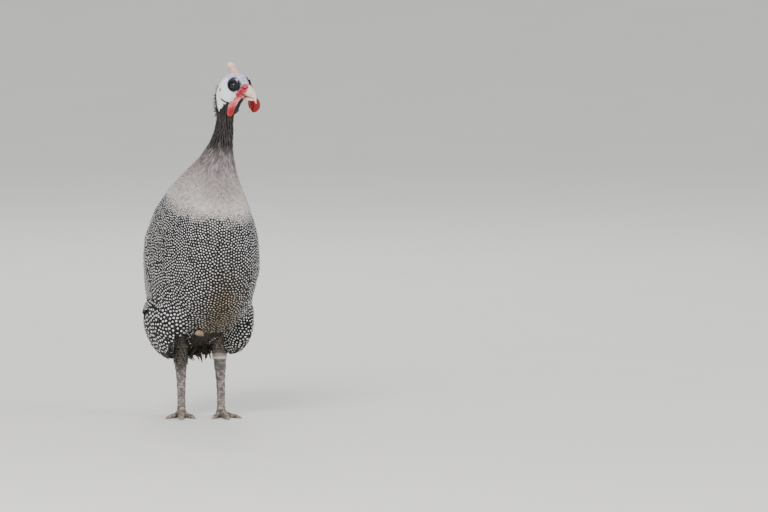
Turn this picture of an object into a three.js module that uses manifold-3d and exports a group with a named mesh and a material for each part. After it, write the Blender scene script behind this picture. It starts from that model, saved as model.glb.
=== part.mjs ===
// A pearl-grey helmeted guinea fowl standing alert on both feet, life size, in millimetres.
// The body faces -Y, the bird's left is +X, and the floor is z = 0.
// Body, neck and head are stacks of level slices. Wings and tail carry their feathers as vanes in tiers.
import * as THREE from 'three';
import { mergeVertices } from 'three/addons/utils/BufferGeometryUtils.js';
import Module from 'manifold-3d';

const wasm = await Module();
wasm.setup();

// Driving dimensions
const GAP = 0.3;                    // clearance between touching nodes
const BODY_SQUARENESS = 2.2;        // exponent of the body's level slices
const NECK_BASE_Z = 321;            // cut between torso and neck
const NECK_TOP_Z = 402;             // cut between neck and head
const HEAD_YAW = 26;                // degrees, the head looks towards the bird's left
const EYE_CENTRE = [11, -99, 442];  // the head frame's origin, between the two eyes
const HEAD_EXPONENT = 2.1;
const EYE_RADIUS = 6.4;
const EYE_OFFSET = 9.3;             // from the mid-plane to the eyeball's centre
const EYE_FORWARD = 2.6;            // and from the head frame's origin, forwards and down
const EYE_DROP = -2.2;
const WING_DEPTH = 8.5;             // how deep the folded wing lies in the flank
const WING_LENGTH = 200;            // from the bend of the wing to its tip, along its edges
const WING_CLEARANCE = 6;           // from the body's surface to the flank feathers that lie over the wing
const VANE_RINGS = 4;
const VANE_TUCK = 1.4;              // how much deeper one edge of a vane lies than the other
const VANE_EDGE = 0.6;              // thickness of a feather vane at its edge
const VANE_RIDGE = 0.5;             // how far the shaft stands above the vane

// Level slices of torso and neck: height, foremost y, hindmost y, half-width, x of the middle
const BODY_SLICES = [
  [86, 22, 48, 10, 0],
  [92, 8, 66, 28, 0],
  [103, -10, 84, 41, 0],
  [118, -40, 97, 50, 0],
  [135, -68, 105, 57, 0],
  [155, -87, 107, 60.5, 0],
  [180, -101, 108.5, 64, 0],
  [207, -106, 108, 65.5, 0],
  [236, -104, 102, 64, 0],
  [264, -97, 90, 56.5, 0],
  [292, -88, 62, 44.5, 0],
  [313, -82, 33, 34, 0],
  [334, -79, -9, 24.5, 0],
  [356, -80.5, -42, 16.3, 0.5],
  [373, -84, -57.5, 12.4, 1.5],
  [390, -85.5, -63, 9.7, 2.4],
  [408, -86.5, -66, 9.2, 3.2],
];

// Level slices of the head in its own frame: height above the eye, rearmost and foremost reach, half-width, snout taper
const HEAD_SLICES = [
  [-44, -34.5, -9.5, 9.6, 0],
  [-37, -35.5, -2, 10.8, 0.2],
  [-30, -36, 2, 12, 0.35],
  [-24, -36, 6, 13, 0.42],
  [-18, -35, 13, 14, 0.45],
  [-12, -34, 19, 14.8, 0.5],
  [-6, -31, 20.5, 15, 0.5],
  [0, -27, 18, 14.6, 0.42],
  [6, -21.5, 13, 13.2, 0.3],
  [11, -15, 7, 10.2, 0.15],
  [14, -9.5, 0, 4.6, 0],
];

// Level slices of the helmet: height above the eye, rear, front, half-width
const HELMET_SLICES = [
  [8, -14, 4.5, 5.6],
  [13, -13.6, 2, 5.3],
  [18, -14, -2, 4.8],
  [22.5, -15, -5.6, 4.3],
  [26, -16.4, -7.9, 3.7],
  [28.6, -17.2, -10.3, 2.9],
  [29.8, -16.6, -12.4, 1.6],
];

const v3 = (x, y, z) => new THREE.Vector3(x, y, z);
const radians = THREE.MathUtils.degToRad;
const mix = THREE.MathUtils.lerp;

// Smooth function through the points (xs, ys) that doesn't overshoot
function through(xs, ys) {
  const last = xs.length - 1;
  const slope = (k) => (ys[k + 1] - ys[k]) / (xs[k + 1] - xs[k]);
  const tangent = xs.map((_, k) => {
    if (k === 0) return slope(0);
    if (k === last) return slope(last - 1);
    const a = slope(k - 1);
    const b = slope(k);
    return a * b <= 0 ? 0 : (2 * a * b) / (a + b);
  });
  return (x) => {
    let k = 0;
    while (k < last - 1 && x > xs[k + 1]) k += 1;
    const h = xs[k + 1] - xs[k];
    const t = THREE.MathUtils.clamp((x - xs[k]) / h, 0, 1);
    const t2 = t * t;
    const t3 = t2 * t;
    return (2 * t3 - 3 * t2 + 1) * ys[k] + (t3 - 2 * t2 + t) * h * tangent[k]
      + (3 * t2 - 2 * t3) * ys[k + 1] + (t3 - t2) * h * tangent[k + 1];
  };
}

// One smooth function for each column after the first, against the first column
function columns(table) {
  const xs = table.map((row) => row[0]);
  return table[0].slice(1).map((_, c) => through(xs, table.map((row) => row[c + 1])));
}

const signedPower = (x, p) => Math.sign(x) * Math.abs(x) ** p;

// Closed mesh through a list of rings of equal length, with a fan at each end
function loft(rings) {
  const sides = rings[0].length;
  const points = rings.flat();
  const faces = [];
  for (let r = 0; r + 1 < rings.length; r += 1) {
    for (let k = 0; k < sides; k += 1) {
      const a = r * sides + k;
      const b = r * sides + ((k + 1) % sides);
      faces.push([a, b, b + sides], [a, b + sides, a + sides]);
    }
  }
  const centre = (ring) => ring.reduce((sum, p) => sum.add(p), v3(0, 0, 0)).divideScalar(sides);
  points.push(centre(rings[0]), centre(rings.at(-1)));
  const top = (rings.length - 1) * sides;
  for (let k = 0; k < sides; k += 1) {
    const next = (k + 1) % sides;
    faces.push([next, k, points.length - 2], [top + k, top + next, points.length - 1]);
  }
  return closed(points, faces);
}

// Solid from points and triangles, turned so that its faces point out
function closed(points, faces) {
  const position = points.flatMap((p) => [p.x, p.y, p.z]);
  let volume = 0;
  const side = v3(0, 0, 0);
  for (const [a, b, c] of faces) volume += points[a].dot(side.crossVectors(points[b], points[c]));
  const index = faces.flatMap(([a, b, c]) => (volume < 0 ? [a, c, b] : [a, b, c]));
  const geometry = new THREE.BufferGeometry();
  geometry.setAttribute('position', new THREE.Float32BufferAttribute(position, 3));
  geometry.setIndex(index);
  return solid(geometry);
}

// manifold-3d solid of a closed three.js geometry
function solid(geometry) {
  const bare = geometry.clone();
  bare.deleteAttribute('normal');
  bare.deleteAttribute('uv');
  const merged = mergeVertices(bare, 1e-4);
  return new wasm.Manifold(new wasm.Mesh({
    numProp: 3,
    vertProperties: new Float32Array(merged.attributes.position.array),
    triVerts: new Uint32Array(merged.index.array),
  }));
}

function ellipsoid(centre, radii, across = 16, down = 10) {
  const ball = new THREE.SphereGeometry(1, across, down);
  ball.scale(...radii);
  ball.translate(...centre);
  return solid(ball);
}

function block(size, centre) {
  const box = new THREE.BoxGeometry(...size);
  box.translate(...centre);
  return solid(box);
}

const join = (pieces) => wasm.Manifold.union(pieces);

// The largest closed surface of a solid, as a named mesh
function node(name, shape, material) {
  const whole = shape.decompose().reduce((best, s) => (s.volume() > best.volume() ? s : best));
  const made = whole.getMesh();
  const geometry = new THREE.BufferGeometry();
  geometry.setAttribute('position', new THREE.BufferAttribute(new Float32Array(made.vertProperties), 3));
  geometry.setIndex(new THREE.BufferAttribute(new Uint32Array(made.triVerts), 1));
  geometry.computeVertexNormals();
  const mesh = new THREE.Mesh(geometry, material);
  mesh.name = name;
  return mesh;
}

const paint = (color, roughness) => new THREE.MeshStandardMaterial({ color, roughness, metalness: 0 });
const materials = {
  plumage: paint(0x55524f, 0.85),
  flight: paint(0x4a4845, 0.8),
  neck: paint(0x3b3836, 0.85),
  skin: paint(0xd9dde6, 0.55),
  red: paint(0xc8202a, 0.5),
  bill: paint(0xdccab0, 0.4),
  helmet: paint(0xd8b49c, 0.55),
  leg: paint(0x756c66, 0.6),
  claw: paint(0x3a332e, 0.45),
  eye: paint(0x17120f, 0.1),
  band: paint(0xc9c8c4, 0.35),
};

// Torso and neck as one stack of slices
const [frontAt, backAt, halfAt, leanAt] = columns(BODY_SLICES);
const middleAt = (z) => (frontAt(z) + backAt(z)) / 2;
const reachAt = (z) => (backAt(z) - frontAt(z)) / 2;

function bodyRing(z, sides) {
  return Array.from({ length: sides }, (_, k) => {
    const turn = (2 * Math.PI * k) / sides;
    const power = 2 / BODY_SQUARENESS;
    return v3(
      leanAt(z) + halfAt(z) * signedPower(Math.cos(turn), power),
      middleAt(z) + reachAt(z) * signedPower(Math.sin(turn), power),
      z,
    );
  });
}

// Slice heights, closer together where the body rounds under
function heights(low, high, count, crowd) {
  return Array.from({ length: count }, (_, k) => mix(low, high, (k / (count - 1)) ** crowd));
}

// The flank of a side: the body's surface as a graph over the side view, with its outward normal
function flankPoint(side, y, z, offset) {
  const n = BODY_SQUARENESS;
  const widthAt = (yy, zz) => {
    const q = Math.min(0.985, Math.abs((yy - middleAt(zz)) / reachAt(zz)));
    return halfAt(zz) * (1 - q ** n) ** (1 / n);
  };
  const step = 1.5;
  const x = widthAt(y, z);
  const slopeY = (widthAt(y + step, z) - widthAt(y - step, z)) / (2 * step);
  const slopeZ = (widthAt(y, z + step) - widthAt(y, z - step)) / (2 * step);
  const normal = v3(1, -slopeY, -slopeZ).normalize();
  return v3(side * (x + normal.x * offset), y + normal.y * offset, z + normal.z * offset);
}

// Edges of the folded wing in the side view, from the bend of the wing to its tip
const WING_UPPER = [[-62, 262], [-30, 277], [14, 267], [54, 238], [81, 200], [92, 158]];
const WING_LOWER = [[-74, 232], [-60, 196], [-24, 162], [20, 141], [58, 130], [84, 130]];
const edgeCurve = (points) => new THREE.SplineCurve(points.map(([y, z]) => new THREE.Vector2(y, z)));
const upperEdge = edgeCurve(WING_UPPER);
const lowerEdge = edgeCurve(WING_LOWER);

// Both edges of the wing at a share of its length, run on straight past the tip by some millimetres
function wingEdges(along) {
  const inside = THREE.MathUtils.clamp(along, 0, 1);
  const past = (along - inside) * WING_LENGTH;
  return [upperEdge, lowerEdge].map((edge) => edge.getPoint(inside).addScaledVector(edge.getTangent(inside), past));
}

// Closed slab over the wing between two depths, wider than the wing by margins in millimetres
function wingSlab(side, margin, inner, outer, rows, cols) {
  const alongs = Array.from({ length: rows + 1 }, (_, r) => (
    mix(-margin.front / WING_LENGTH, 1 + margin.tip / WING_LENGTH, r / rows)));
  return loft(alongs.map((along) => {
    const [a, b] = wingEdges(along);
    const across = b.clone().sub(a).normalize();
    a.addScaledVector(across, -margin.upper);
    b.addScaledVector(across, margin.lower);
    const line = Array.from({ length: cols + 1 }, (__, c) => a.clone().lerp(b, c / cols));
    const face = (depth) => line.map((p) => flankPoint(side, p.x, p.y, depth));
    return [...face(outer), ...face(inner).reverse()];
  }));
}

// Half-width of a vane along its length: narrower at the root and rounded at the tip
function vaneTaper(t) {
  const rounding = Math.max(0, (t - 0.62) / 0.4) ** 2.4;
  return Math.sqrt(Math.max(0.05, 1 - rounding)) * mix(0.75, 1, Math.min(1, t * 3));
}

// One vane: a thin ribbon along a centre line, with a raised shaft
function vane(line, width) {
  const rings = Array.from({ length: VANE_RINGS }, (_, r) => {
    const t = r / (VANE_RINGS - 1);
    const half = (width / 2) * vaneTaper(t);
    const left = line(t, -half, 0);
    const right = line(t, half, 0);
    const shaft = line(t, 0, VANE_RIDGE);
    return [left, shaft, right, line(t, half, -VANE_EDGE), line(t, -half, -VANE_EDGE)];
  });
  return loft(rings);
}

// Tiers of the wing, rear ones first: count, span along the wing, width, depth at root and tip,
// and how far the outermost vanes' centre lines keep inside the upper and lower edge
const WING_TIERS = [
  { count: 3, along: [0.6, 1.0], inset: [18, 4], width: 12, root: -3.2, tip: -1.4 },
  { count: 8, along: [0.44, 0.95], inset: [9, 7], width: 15, root: -1.6, tip: 1.0 },
  { count: 7, along: [0.24, 0.62], inset: [9, 6], width: 17, root: -1.4, tip: 2.8 },
  { count: 6, along: [0.07, 0.36], inset: [10, 9], width: 17, root: -1.4, tip: 2.4 },
];

function wingVanes(side) {
  const made = [];
  WING_TIERS.forEach((tier, level) => {
    for (let k = 0; k < tier.count; k += 1) {
      const share = k / (tier.count - 1);
      const reach = tier.along[1] - 0.02 * Math.abs(Math.sin(k * 2.4 + level)) - 0.04 * share;
      const spine = (along) => {
        const [a, b] = wingEdges(along);
        const wide = a.distanceTo(b);
        return a.lerp(b, mix(tier.inset[0], wide - tier.inset[1], share) / wide);
      };
      const line = (t, sideways, lift) => {
        const along = mix(tier.along[0], reach, t);
        const here = spine(along);
        const ahead = spine(along + 0.02).sub(here).normalize();
        // across the vane, towards the wing's lower edge
        here.addScaledVector(new THREE.Vector2(ahead.y, -ahead.x), sideways);
        const tuck = (sideways / tier.width) * VANE_TUCK;
        return flankPoint(side, here.x, here.y, mix(tier.root, tier.tip, t) + tuck + lift);
      };
      made.push(vane(line, tier.width));
    }
  });
  return made;
}

const wing = (side) => join([
  wingSlab(side, { front: 0, tip: 0, upper: 0, lower: 0 }, -WING_DEPTH, 0.2, 10, 5),
  ...wingVanes(side),
]);

// Room that the wing takes out of the torso: deep under the wing, shallow where vanes hang past its edge.
// The flank's feathers lie over the wing's lower edge, so the room is closed outside it.
const wingRoom = (side) => join([
  wingSlab(side, { front: GAP, tip: 0.6, upper: 1.2, lower: 0.6 }, -WING_DEPTH - 0.7, WING_CLEARANCE, 10, 5),
  wingSlab(side, { front: 1, tip: 9, upper: 4.5, lower: 6 }, -5.2, WING_CLEARANCE, 10, 5),
]);

// Tail: a wedge of coverts with the tail feathers fanned in and over it
const TAIL_ROOT = v3(0, 90, 166);
const TAIL_TURN = -65;              // degrees below the level
const TAIL_LENGTH = 96;
const TAIL_SPREAD = 13;             // degrees either side
const TAIL_ROOM = 4.8;              // round the tail's base, for the roots of its coverts
const TAIL_ROOT_SPREAD = 10;        // from the mid-plane to the outermost feather's root
const TAIL_ARCH = 0.0045;           // fall of the sheet towards its sides, against the square of the way out
const TAIL_SHORTEN = 7;             // how much shorter the outermost feathers end
const TAIL_TUCK = 1.6;              // how much deeper one edge of a tail vane lies than the other
const TAIL_STACK = 2.2;             // how far the middle vanes lie over the outermost
const tailAxis = v3(0, Math.cos(radians(TAIL_TURN)), Math.sin(radians(TAIL_TURN)));
const tailOut = v3(0, -tailAxis.z, tailAxis.y);

// A place on the tail: distance down the axis, sideways, and height above its middle sheet, which is arched
function tailPoint(down, sideways, height) {
  const arch = TAIL_ARCH * sideways * sideways;
  return TAIL_ROOT.clone().addScaledVector(tailAxis, down)
    .add(v3(sideways, 0, 0)).addScaledVector(tailOut, height - arch);
}

const tailHalfAt = through([-6, 30, 70], [17, 19, 20]);
const tailThickAt = through([-6, 20, 40, 70], [12, 10.5, 7.5, 2.4]);

// The tail's fleshy base, or with some growth the room that it takes out of the torso
function tailBase(grow, rootGrow = grow) {
  return loft([-6, 8, 22, 36, 52, 70].map((down) => {
    const half = tailHalfAt(down) + grow;
    const thick = tailThickAt(down) + grow;
    return Array.from({ length: 16 }, (_, k) => {
      const turn = (2 * Math.PI * k) / 16;
      return tailPoint(down < 0 ? down - rootGrow : down, half * Math.cos(turn), thick * Math.sin(turn));
    });
  }));
}

// Tiers of the tail: count, root and tip distance, fan, width, height at root and tip
const TAIL_TIERS = [
  { count: 10, down: [40, TAIL_LENGTH], fan: TAIL_SPREAD, width: 13, root: 0, tip: 0 },
  { count: 6, down: [20, 72], fan: 11, width: 14, root: 4.5, tip: 3.4 },
  { count: 5, down: [6, 50], fan: 9, width: 14, root: 8.5, tip: 8.6 },
  { count: 4, down: [22, 70], fan: 9, width: 14, root: -6, tip: -4.6 },
];

function tailVanes() {
  const made = [];
  TAIL_TIERS.forEach((tier) => {
    for (let k = 0; k < tier.count; k += 1) {
      const share = (k / (tier.count - 1)) * 2 - 1;
      const angle = radians(tier.fan * share);
      const start = share * TAIL_ROOT_SPREAD;
      const reach = tier.down[1] - TAIL_SHORTEN * share * share;
      const line = (t, sideways, lift) => {
        const along = mix(0, reach - tier.down[0], t);
        const step = sideways * Math.cos(angle) + along * Math.sin(angle) + start;
        const down = tier.down[0] + along * Math.cos(angle) - sideways * Math.sin(angle);
        const tuck = -Math.sign(share || 1) * (sideways / tier.width) * TAIL_TUCK;
        const stack = (1 - Math.abs(share)) * TAIL_STACK;
        return tailPoint(down, step, mix(tier.root, tier.tip, t) + tuck + stack + lift);
      };
      made.push(vane(line, tier.width));
    }
  });
  return made;
}

// Head frame: forward is towards the bill, left is the bird's left
const headForward = v3(Math.sin(radians(HEAD_YAW)), -Math.cos(radians(HEAD_YAW)), 0);
const headLeft = v3(Math.cos(radians(HEAD_YAW)), Math.sin(radians(HEAD_YAW)), 0);
const eyeCentre = v3(...EYE_CENTRE);
const headPoint = (forward, left, up) => eyeCentre.clone()
  .addScaledVector(headForward, forward).addScaledVector(headLeft, left).add(v3(0, 0, up));
const headMatrix = new THREE.Matrix4().makeBasis(headForward, headLeft, v3(0, 0, 1)).setPosition(eyeCentre);

// Closed piece made in the head frame and set in place
function inHead(geometry) {
  geometry.applyMatrix4(headMatrix);
  return solid(geometry);
}

function headBall(forward, left, up, radii, across = 9, down = 6) {
  const ball = new THREE.SphereGeometry(1, across, down);
  ball.scale(...radii);
  ball.translate(forward, left, up);
  return inHead(ball);
}

// Stack of level slices in the head frame, narrowed towards the bill
function headStack(table, exponent, sides, levels, grow = 0) {
  const [rearAt, foreAt, wideAt, snoutAt] = columns(table);
  const low = table[0][0] - grow;
  const high = table.at(-1)[0] + grow;
  return loft(Array.from({ length: levels }, (_, r) => {
    const up = mix(low, high, r / (levels - 1));
    const rear = rearAt(up) - grow;
    const fore = foreAt(up) + grow;
    const wide = wideAt(up) + grow;
    const snout = snoutAt ? snoutAt(up) : 0;
    return Array.from({ length: sides }, (__, k) => {
      const turn = (2 * Math.PI * k) / sides;
      const q = signedPower(Math.cos(turn), 2 / exponent);
      const across = signedPower(Math.sin(turn), 2 / exponent);
      const narrow = 1 - snout * Math.max(0, q) ** 1.5;
      return headPoint((rear + fore) / 2 + ((fore - rear) / 2) * q, wide * narrow * across, up);
    });
  }));
}

// Bill: culmen above, cutting edge between the halves, and the keel of the lower half
const CULMEN = [[14, 0.6], [20.5, -1.8], [26, -6.6], [30.2, -13.6], [32.4, -24.5]];
const CUTTING = [[13, -15.6], [18, -16.2], [23, -16.8], [27.8, -18.4], [31.4, -24.7]];
const KEEL = [[11, -19.4], [16, -20.6], [20.5, -21.2], [24.8, -21.4], [28, -20.9]];
const profileCurve = (points) => new THREE.SplineCurve(points.map(([f, u]) => new THREE.Vector2(f, u)));
const culmen = profileCurve(CULMEN);
const cutting = profileCurve(CUTTING);
const keel = profileCurve(KEEL);
const BILL_HALF = 6;

function billHalf(roof, floor, halfAtShare, rows, sides, grow) {
  return loft(Array.from({ length: rows }, (_, r) => {
    const t = r / (rows - 1);
    const a = roof(t);
    const b = floor(t);
    const middle = a.clone().add(b).multiplyScalar(0.5);
    const up = a.clone().sub(b).multiplyScalar(0.5);
    const lengthen = (up.length() + grow) / up.length();
    const ahead = r === 0 ? -grow : 0;
    return Array.from({ length: sides }, (__, k) => {
      const turn = (2 * Math.PI * k) / sides;
      const rise = Math.sin(turn) * lengthen;
      return headPoint(
        middle.x + up.x * rise + ahead,
        (halfAtShare(t) + grow) * signedPower(Math.cos(turn), 0.8),
        middle.y + up.y * rise,
      );
    });
  }));
}

const billUpper = (grow) => billHalf(
  (t) => culmen.getPoint(t),
  (t) => cutting.getPoint(t),
  (t) => BILL_HALF * (1 - t ** 1.6) + 0.7,
  7, 10, grow,
);
const billLower = (grow) => billHalf(
  (t) => cutting.getPoint(t * 0.8).add(new THREE.Vector2(0, -1.15)),
  (t) => keel.getPoint(t),
  (t) => (BILL_HALF - 0.8) * (1 - 0.85 * t ** 1.7),
  6, 8, grow,
);

// Wattle of a side: a cupped lobe that hangs and flares from the corner of the mouth
const WATTLE_THICKNESS = 2.6;
const WATTLE_ROOT_HALF = 3.4;
const WATTLE_CUP = 3.2;             // how far its edges turn outwards
const WATTLE_RIPPLE = 0.5;
const WATTLES = {
  right: {
    side: -1, width: 14,
    line: [[13, 5, -14.5], [11, 10.5, -18], [9, 16.5, -26], [7.5, 20, -34], [7, 21.5, -41.5]],
  },
  left: {
    side: 1, width: 18,
    line: [[12.5, 5, -14.5], [10.5, 12, -17], [8.5, 18.5, -21], [7.5, 22, -28], [7.5, 23, -36]],
  },
};

function wattle({ side, width, line }, grow) {
  const spine = new THREE.CatmullRomCurve3(line.map(([f, l, u]) => v3(f, l, u)));
  const rows = 7;
  const cols = 5;
  const point = (t, share, lift) => {
    const here = spine.getPoint(t);
    const along = spine.getTangent(t);
    const fore = v3(1, 0, 0).addScaledVector(along, -along.x).normalize();
    const outward = v3(0, 0, 0).crossVectors(along, fore).normalize();
    const half = (mix(WATTLE_ROOT_HALF, width / 2, Math.sin(Math.min(1, t * 1.25) * Math.PI * 0.5))
      * Math.sqrt(Math.max(0.04, 1 - Math.max(0, (t - 0.6) / 0.42) ** 2.5))) + grow;
    const cup = WATTLE_CUP * share * share * Math.min(1, t * 1.6);
    const ripple = WATTLE_RIPPLE * Math.sin(t * 9 + share * 2.5);
    if (outward.y < 0) outward.negate();
    const p = here.addScaledVector(fore, half * share).addScaledVector(outward, cup + ripple * t + lift);
    return headPoint(p.x, side * p.y, p.z);
  };
  const inwards = spine.getTangent(0).multiplyScalar(-grow);
  const deeper = headPoint(inwards.x, side * inwards.y, inwards.z).sub(eyeCentre);
  return loft(Array.from({ length: rows + 1 }, (_, r) => (
    Array.from({ length: 2 * cols }, (__, k) => {
      const turn = (Math.PI * k) / cols;
      const bulge = (WATTLE_THICKNESS / 2 + grow) * signedPower(Math.sin(turn), 0.7);
      const p = point(r / rows, Math.cos(turn), bulge);
      return r === 0 ? p.add(deeper) : p;
    })
  )));
}

// Helmet, a bony horn on the crown
const helmet = (grow) => headStack(HELMET_SLICES, 2, 12, 9, grow);

// Raised and sunken parts of a side of the face in the head frame: forward, outward and up, and their radii
const LID = { ring: 5.9, tube: 1.25, outward: 14.1, turn: -8 };
const BROW = [[3, 11.2, 5.2], [7.6, 3.4, 2.4]];
const CERE = [[16.4, 3.9, -6.2], [5.8, 4.4, 6]];
const GAPE = [[11.5, 8.2, -15.2], [6.5, 3.2, 3]];
const NOSTRIL = [[18, 8.2, -6.2], [1.5, 2.2, 1.1]];
const EAR = [[-19.5, 14.4, -9], [1.5, 2.6, 2.1]];

const sideBall = (side, [[forward, outward, up], radii], across, down) => (
  headBall(forward, side * outward, up, radii, across, down));

const eyeball = (side, grow) => headBall(
  EYE_FORWARD, side * EYE_OFFSET, EYE_DROP,
  [EYE_RADIUS + grow, EYE_RADIUS + grow, EYE_RADIUS + grow], 12, 6,
);

// Lids, brow, cere and fold of the gape, added to the skull
function faceParts(side) {
  const lid = new THREE.TorusGeometry(LID.ring, LID.tube, 5, 14);
  lid.rotateX(Math.PI / 2);
  lid.rotateZ(side * radians(LID.turn));
  lid.translate(EYE_FORWARD + 0.2, side * LID.outward, EYE_DROP);
  return [inHead(lid), sideBall(side, BROW), sideBall(side, CERE), sideBall(side, GAPE)];
}

function head() {
  const skull = headStack(HEAD_SLICES, HEAD_EXPONENT, 20, 14);
  const solidHead = join([skull, ...faceParts(1), ...faceParts(-1)]);
  const holes = [billUpper(GAP), billLower(GAP), helmet(GAP)];
  for (const side of [1, -1]) {
    holes.push(eyeball(side, GAP), sideBall(side, NOSTRIL, 6, 4), sideBall(side, EAR, 6, 4));
  }
  holes.push(wattle(WATTLES.right, GAP), wattle(WATTLES.left, GAP));
  holes.push(block([200, 200, 100], [0, -80, NECK_TOP_Z + GAP / 2 - 50]));
  return solidHead.subtract(join(holes));
}

// Legs: a feathered thigh, a scaled shank and a foot of four toes
const LEGS = {
  left: { side: 1, foot: [25, -4], hock: [28.5, 11, 88], knee: [26.5, -2, 116], hip: [30, 2, 146], heading: -10 },
  right: { side: -1, foot: [-23.5, 14], hock: [-19, 29, 88], knee: [-23.5, 15, 116], hip: [-29, 16, 146], heading: -22 },
};
const SHANK_FOOT_Z = 13;
const HOCK_TOP_Z = 90;
const SHANK_HALF_WIDTH = 5.0;
const SHANK_HALF_DEPTH = 5.5;
const SHANK_STEP = 0.05;            // how far each scute's lower edge stands out, as a share
// Widening of the shank from the foot up to the hock, against the share of its curve
const SHANK_WIDEN = [[0, 1.15], [0.13, 1.04], [0.25, 1.08], [0.37, 1.2], [0.485, 1.34], [0.6, 1.42], [0.667, 1.45], [1, 1.3]];
const SHANK_CURVE_RANGE = [0.04, 0.98];
const SCUTE_SHARE = 0.88;           // of its pitch that a scute fills
const HOCK_ROOM = 8.2;              // half-width of the room round a bare hock
const SHANK_SCUTES = 10;
const TOE_SCUTES = 5;
const TOE_SIDES = 7;
const TOE_ROOT_Z = 7.5;             // height of a toe's centre line at the ball of the foot
const TOE_TIP_SHARE = 0.66;         // girth at the claw against the girth at the root
const TOE_KNUCKLE = 0.09;           // swelling of the pads between the joints, as a share
const TOE_PRESS = 0.72;             // height of the centre line on the floor, against the girth

// Round tube of level rings along a curve, with a half-width and half-depth at each share
function column(curve, shares, halfWidth, halfDepth, sides = 11) {
  return loft(shares.map((t) => {
    const p = curve.getPoint(t);
    return Array.from({ length: sides }, (_, k) => {
      const turn = (2 * Math.PI * (k + 0.5)) / sides;
      return v3(p.x + halfWidth(t) * Math.cos(turn), p.y + halfDepth(t) * Math.sin(turn), p.z);
    });
  }));
}

const THIGH_RADII = [[0, 8.2], [0.25, 9.4], [0.5, 11.5], [0.75, 14.5], [1, 15]];
const THIGH_DEEPER = 1.12;          // front to back against side to side

function thigh(leg, grow) {
  const [hx, hy] = leg.hock;
  const curve = new THREE.CatmullRomCurve3([
    v3(hx, hy, HOCK_TOP_Z - 3 - grow), v3((hx + leg.knee[0]) / 2, (hy + leg.knee[1]) / 2, 101),
    v3(...leg.knee), v3(...leg.hip),
  ]);
  const [radius] = columns(THIGH_RADII);
  const shares = Array.from({ length: 6 }, (_, k) => k / 5);
  return column(curve, shares, (t) => radius(t) + grow, (t) => radius(t) * THIGH_DEEPER + grow, 12);
}

const shankCurve = (leg) => new THREE.CatmullRomCurve3([
  v3(leg.foot[0], leg.foot[1], 4),
  v3(mix(leg.foot[0], leg.hock[0], 0.45), mix(leg.foot[1], leg.hock[1], 0.4), 42),
  v3(leg.hock[0], leg.hock[1], leg.hock[2]),
  v3(leg.hock[0], leg.hock[1] - 1, 102),
]);

// Shank with a step at each scute, each step a plate's lower edge
function shank(leg) {
  const curve = shankCurve(leg);
  const [widen] = columns(SHANK_WIDEN);
  const shares = [];
  for (let k = 0; k <= SHANK_SCUTES; k += 1) {
    for (const part of [0, SCUTE_SHARE]) {
      shares.push(mix(...SHANK_CURVE_RANGE, (k + part) / (SHANK_SCUTES + 1)));
    }
  }
  const step = (t) => (shares.indexOf(t) % 2 === 0 ? 1 + SHANK_STEP : 1 - SHANK_STEP);
  return column(
    curve, shares,
    (t) => SHANK_HALF_WIDTH * widen(t) * step(t),
    (t) => SHANK_HALF_DEPTH * widen(t) * step(t),
  );
}

// Room round the hock and the top of the shank, among the flank's feathers
function shankRoom(leg, halfWidth) {
  const deeper = halfWidth + 0.6;
  return column(shankCurve(leg), [0.55, 0.8, 1], () => halfWidth, () => deeper, 12);
}

// One toe from the ball of the foot: heading in degrees from -Y, length, girth, scutes
function toe(leg, heading, length, girth, scutes) {
  const turn = radians(leg.heading + heading);
  const ahead = v3(Math.sin(turn), -Math.cos(turn), 0);
  const across = v3(Math.cos(turn), Math.sin(turn), 0);
  const start = v3(leg.foot[0], leg.foot[1], TOE_ROOT_Z);
  const rings = [];
  for (let k = 0; k <= scutes; k += 1) {
    for (const [part, swell] of [[0, 1.06], [0.86, 0.92]]) {
      const t = (k + part) / (scutes + 1);
      const knuckle = 1 + TOE_KNUCKLE * Math.sin(t * Math.PI * 5.2);
      const radius = mix(girth, girth * TOE_TIP_SHARE, t) * swell * knuckle;
      const rise = mix(start.z, radius * TOE_PRESS, Math.min(1, t * 2.2) ** 0.7);
      const centre = start.clone().addScaledVector(ahead, length * t);
      rings.push(Array.from({ length: TOE_SIDES }, (_, s) => {
        const a = (2 * Math.PI * s) / TOE_SIDES;
        return v3(0, 0, rise + radius * Math.sin(a)).add(v3(centre.x, centre.y, 0))
          .addScaledVector(across, radius * 1.08 * Math.cos(a));
      }));
    }
  }
  return { shape: loft(rings), end: rings.at(-1), ahead };
}

// Toes of a foot: heading, length, girth, scutes
const TOES = {
  middle: [0, 43, 4.7, TOE_SCUTES],
  inner: [-29, 32, 4.2, TOE_SCUTES - 1],
  outer: [31, 33, 4.2, TOE_SCUTES - 1],
  hind: [174, 15, 3.6, 2],
};
const CLAW_LENGTH = { middle: 10, inner: 8.5, outer: 8.5, hind: 7 };
const CLAW_DROP = 0.62;             // how far a claw bends down to the floor, as a share of its height
const CLAW_BASE = 0.92;             // size of a claw's root and of its blunt tip against the toe's end
const CLAW_TIP = 0.06;
const BALL_Z = 4.8;
const BALL_RADII = [7.4, 8.4, 6.4];

function claw(made, length) {
  const centre = made.end.reduce((sum, p) => sum.add(p), v3(0, 0, 0)).divideScalar(made.end.length);
  const base = centre.z;
  return loft([0, 0.35, 0.7, 1].map((t) => {
    const size = (1 - t) ** 0.75 * (CLAW_BASE - CLAW_TIP) + CLAW_TIP;
    const drop = base * (CLAW_DROP * t * t);
    return made.end.map((p) => p.clone().sub(centre).multiplyScalar(size)
      .add(centre).addScaledVector(made.ahead, GAP + length * t).add(v3(0, 0, -drop)));
  }));
}

const floorCut = block([600, 600, 60], [0, 0, -30]);

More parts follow.
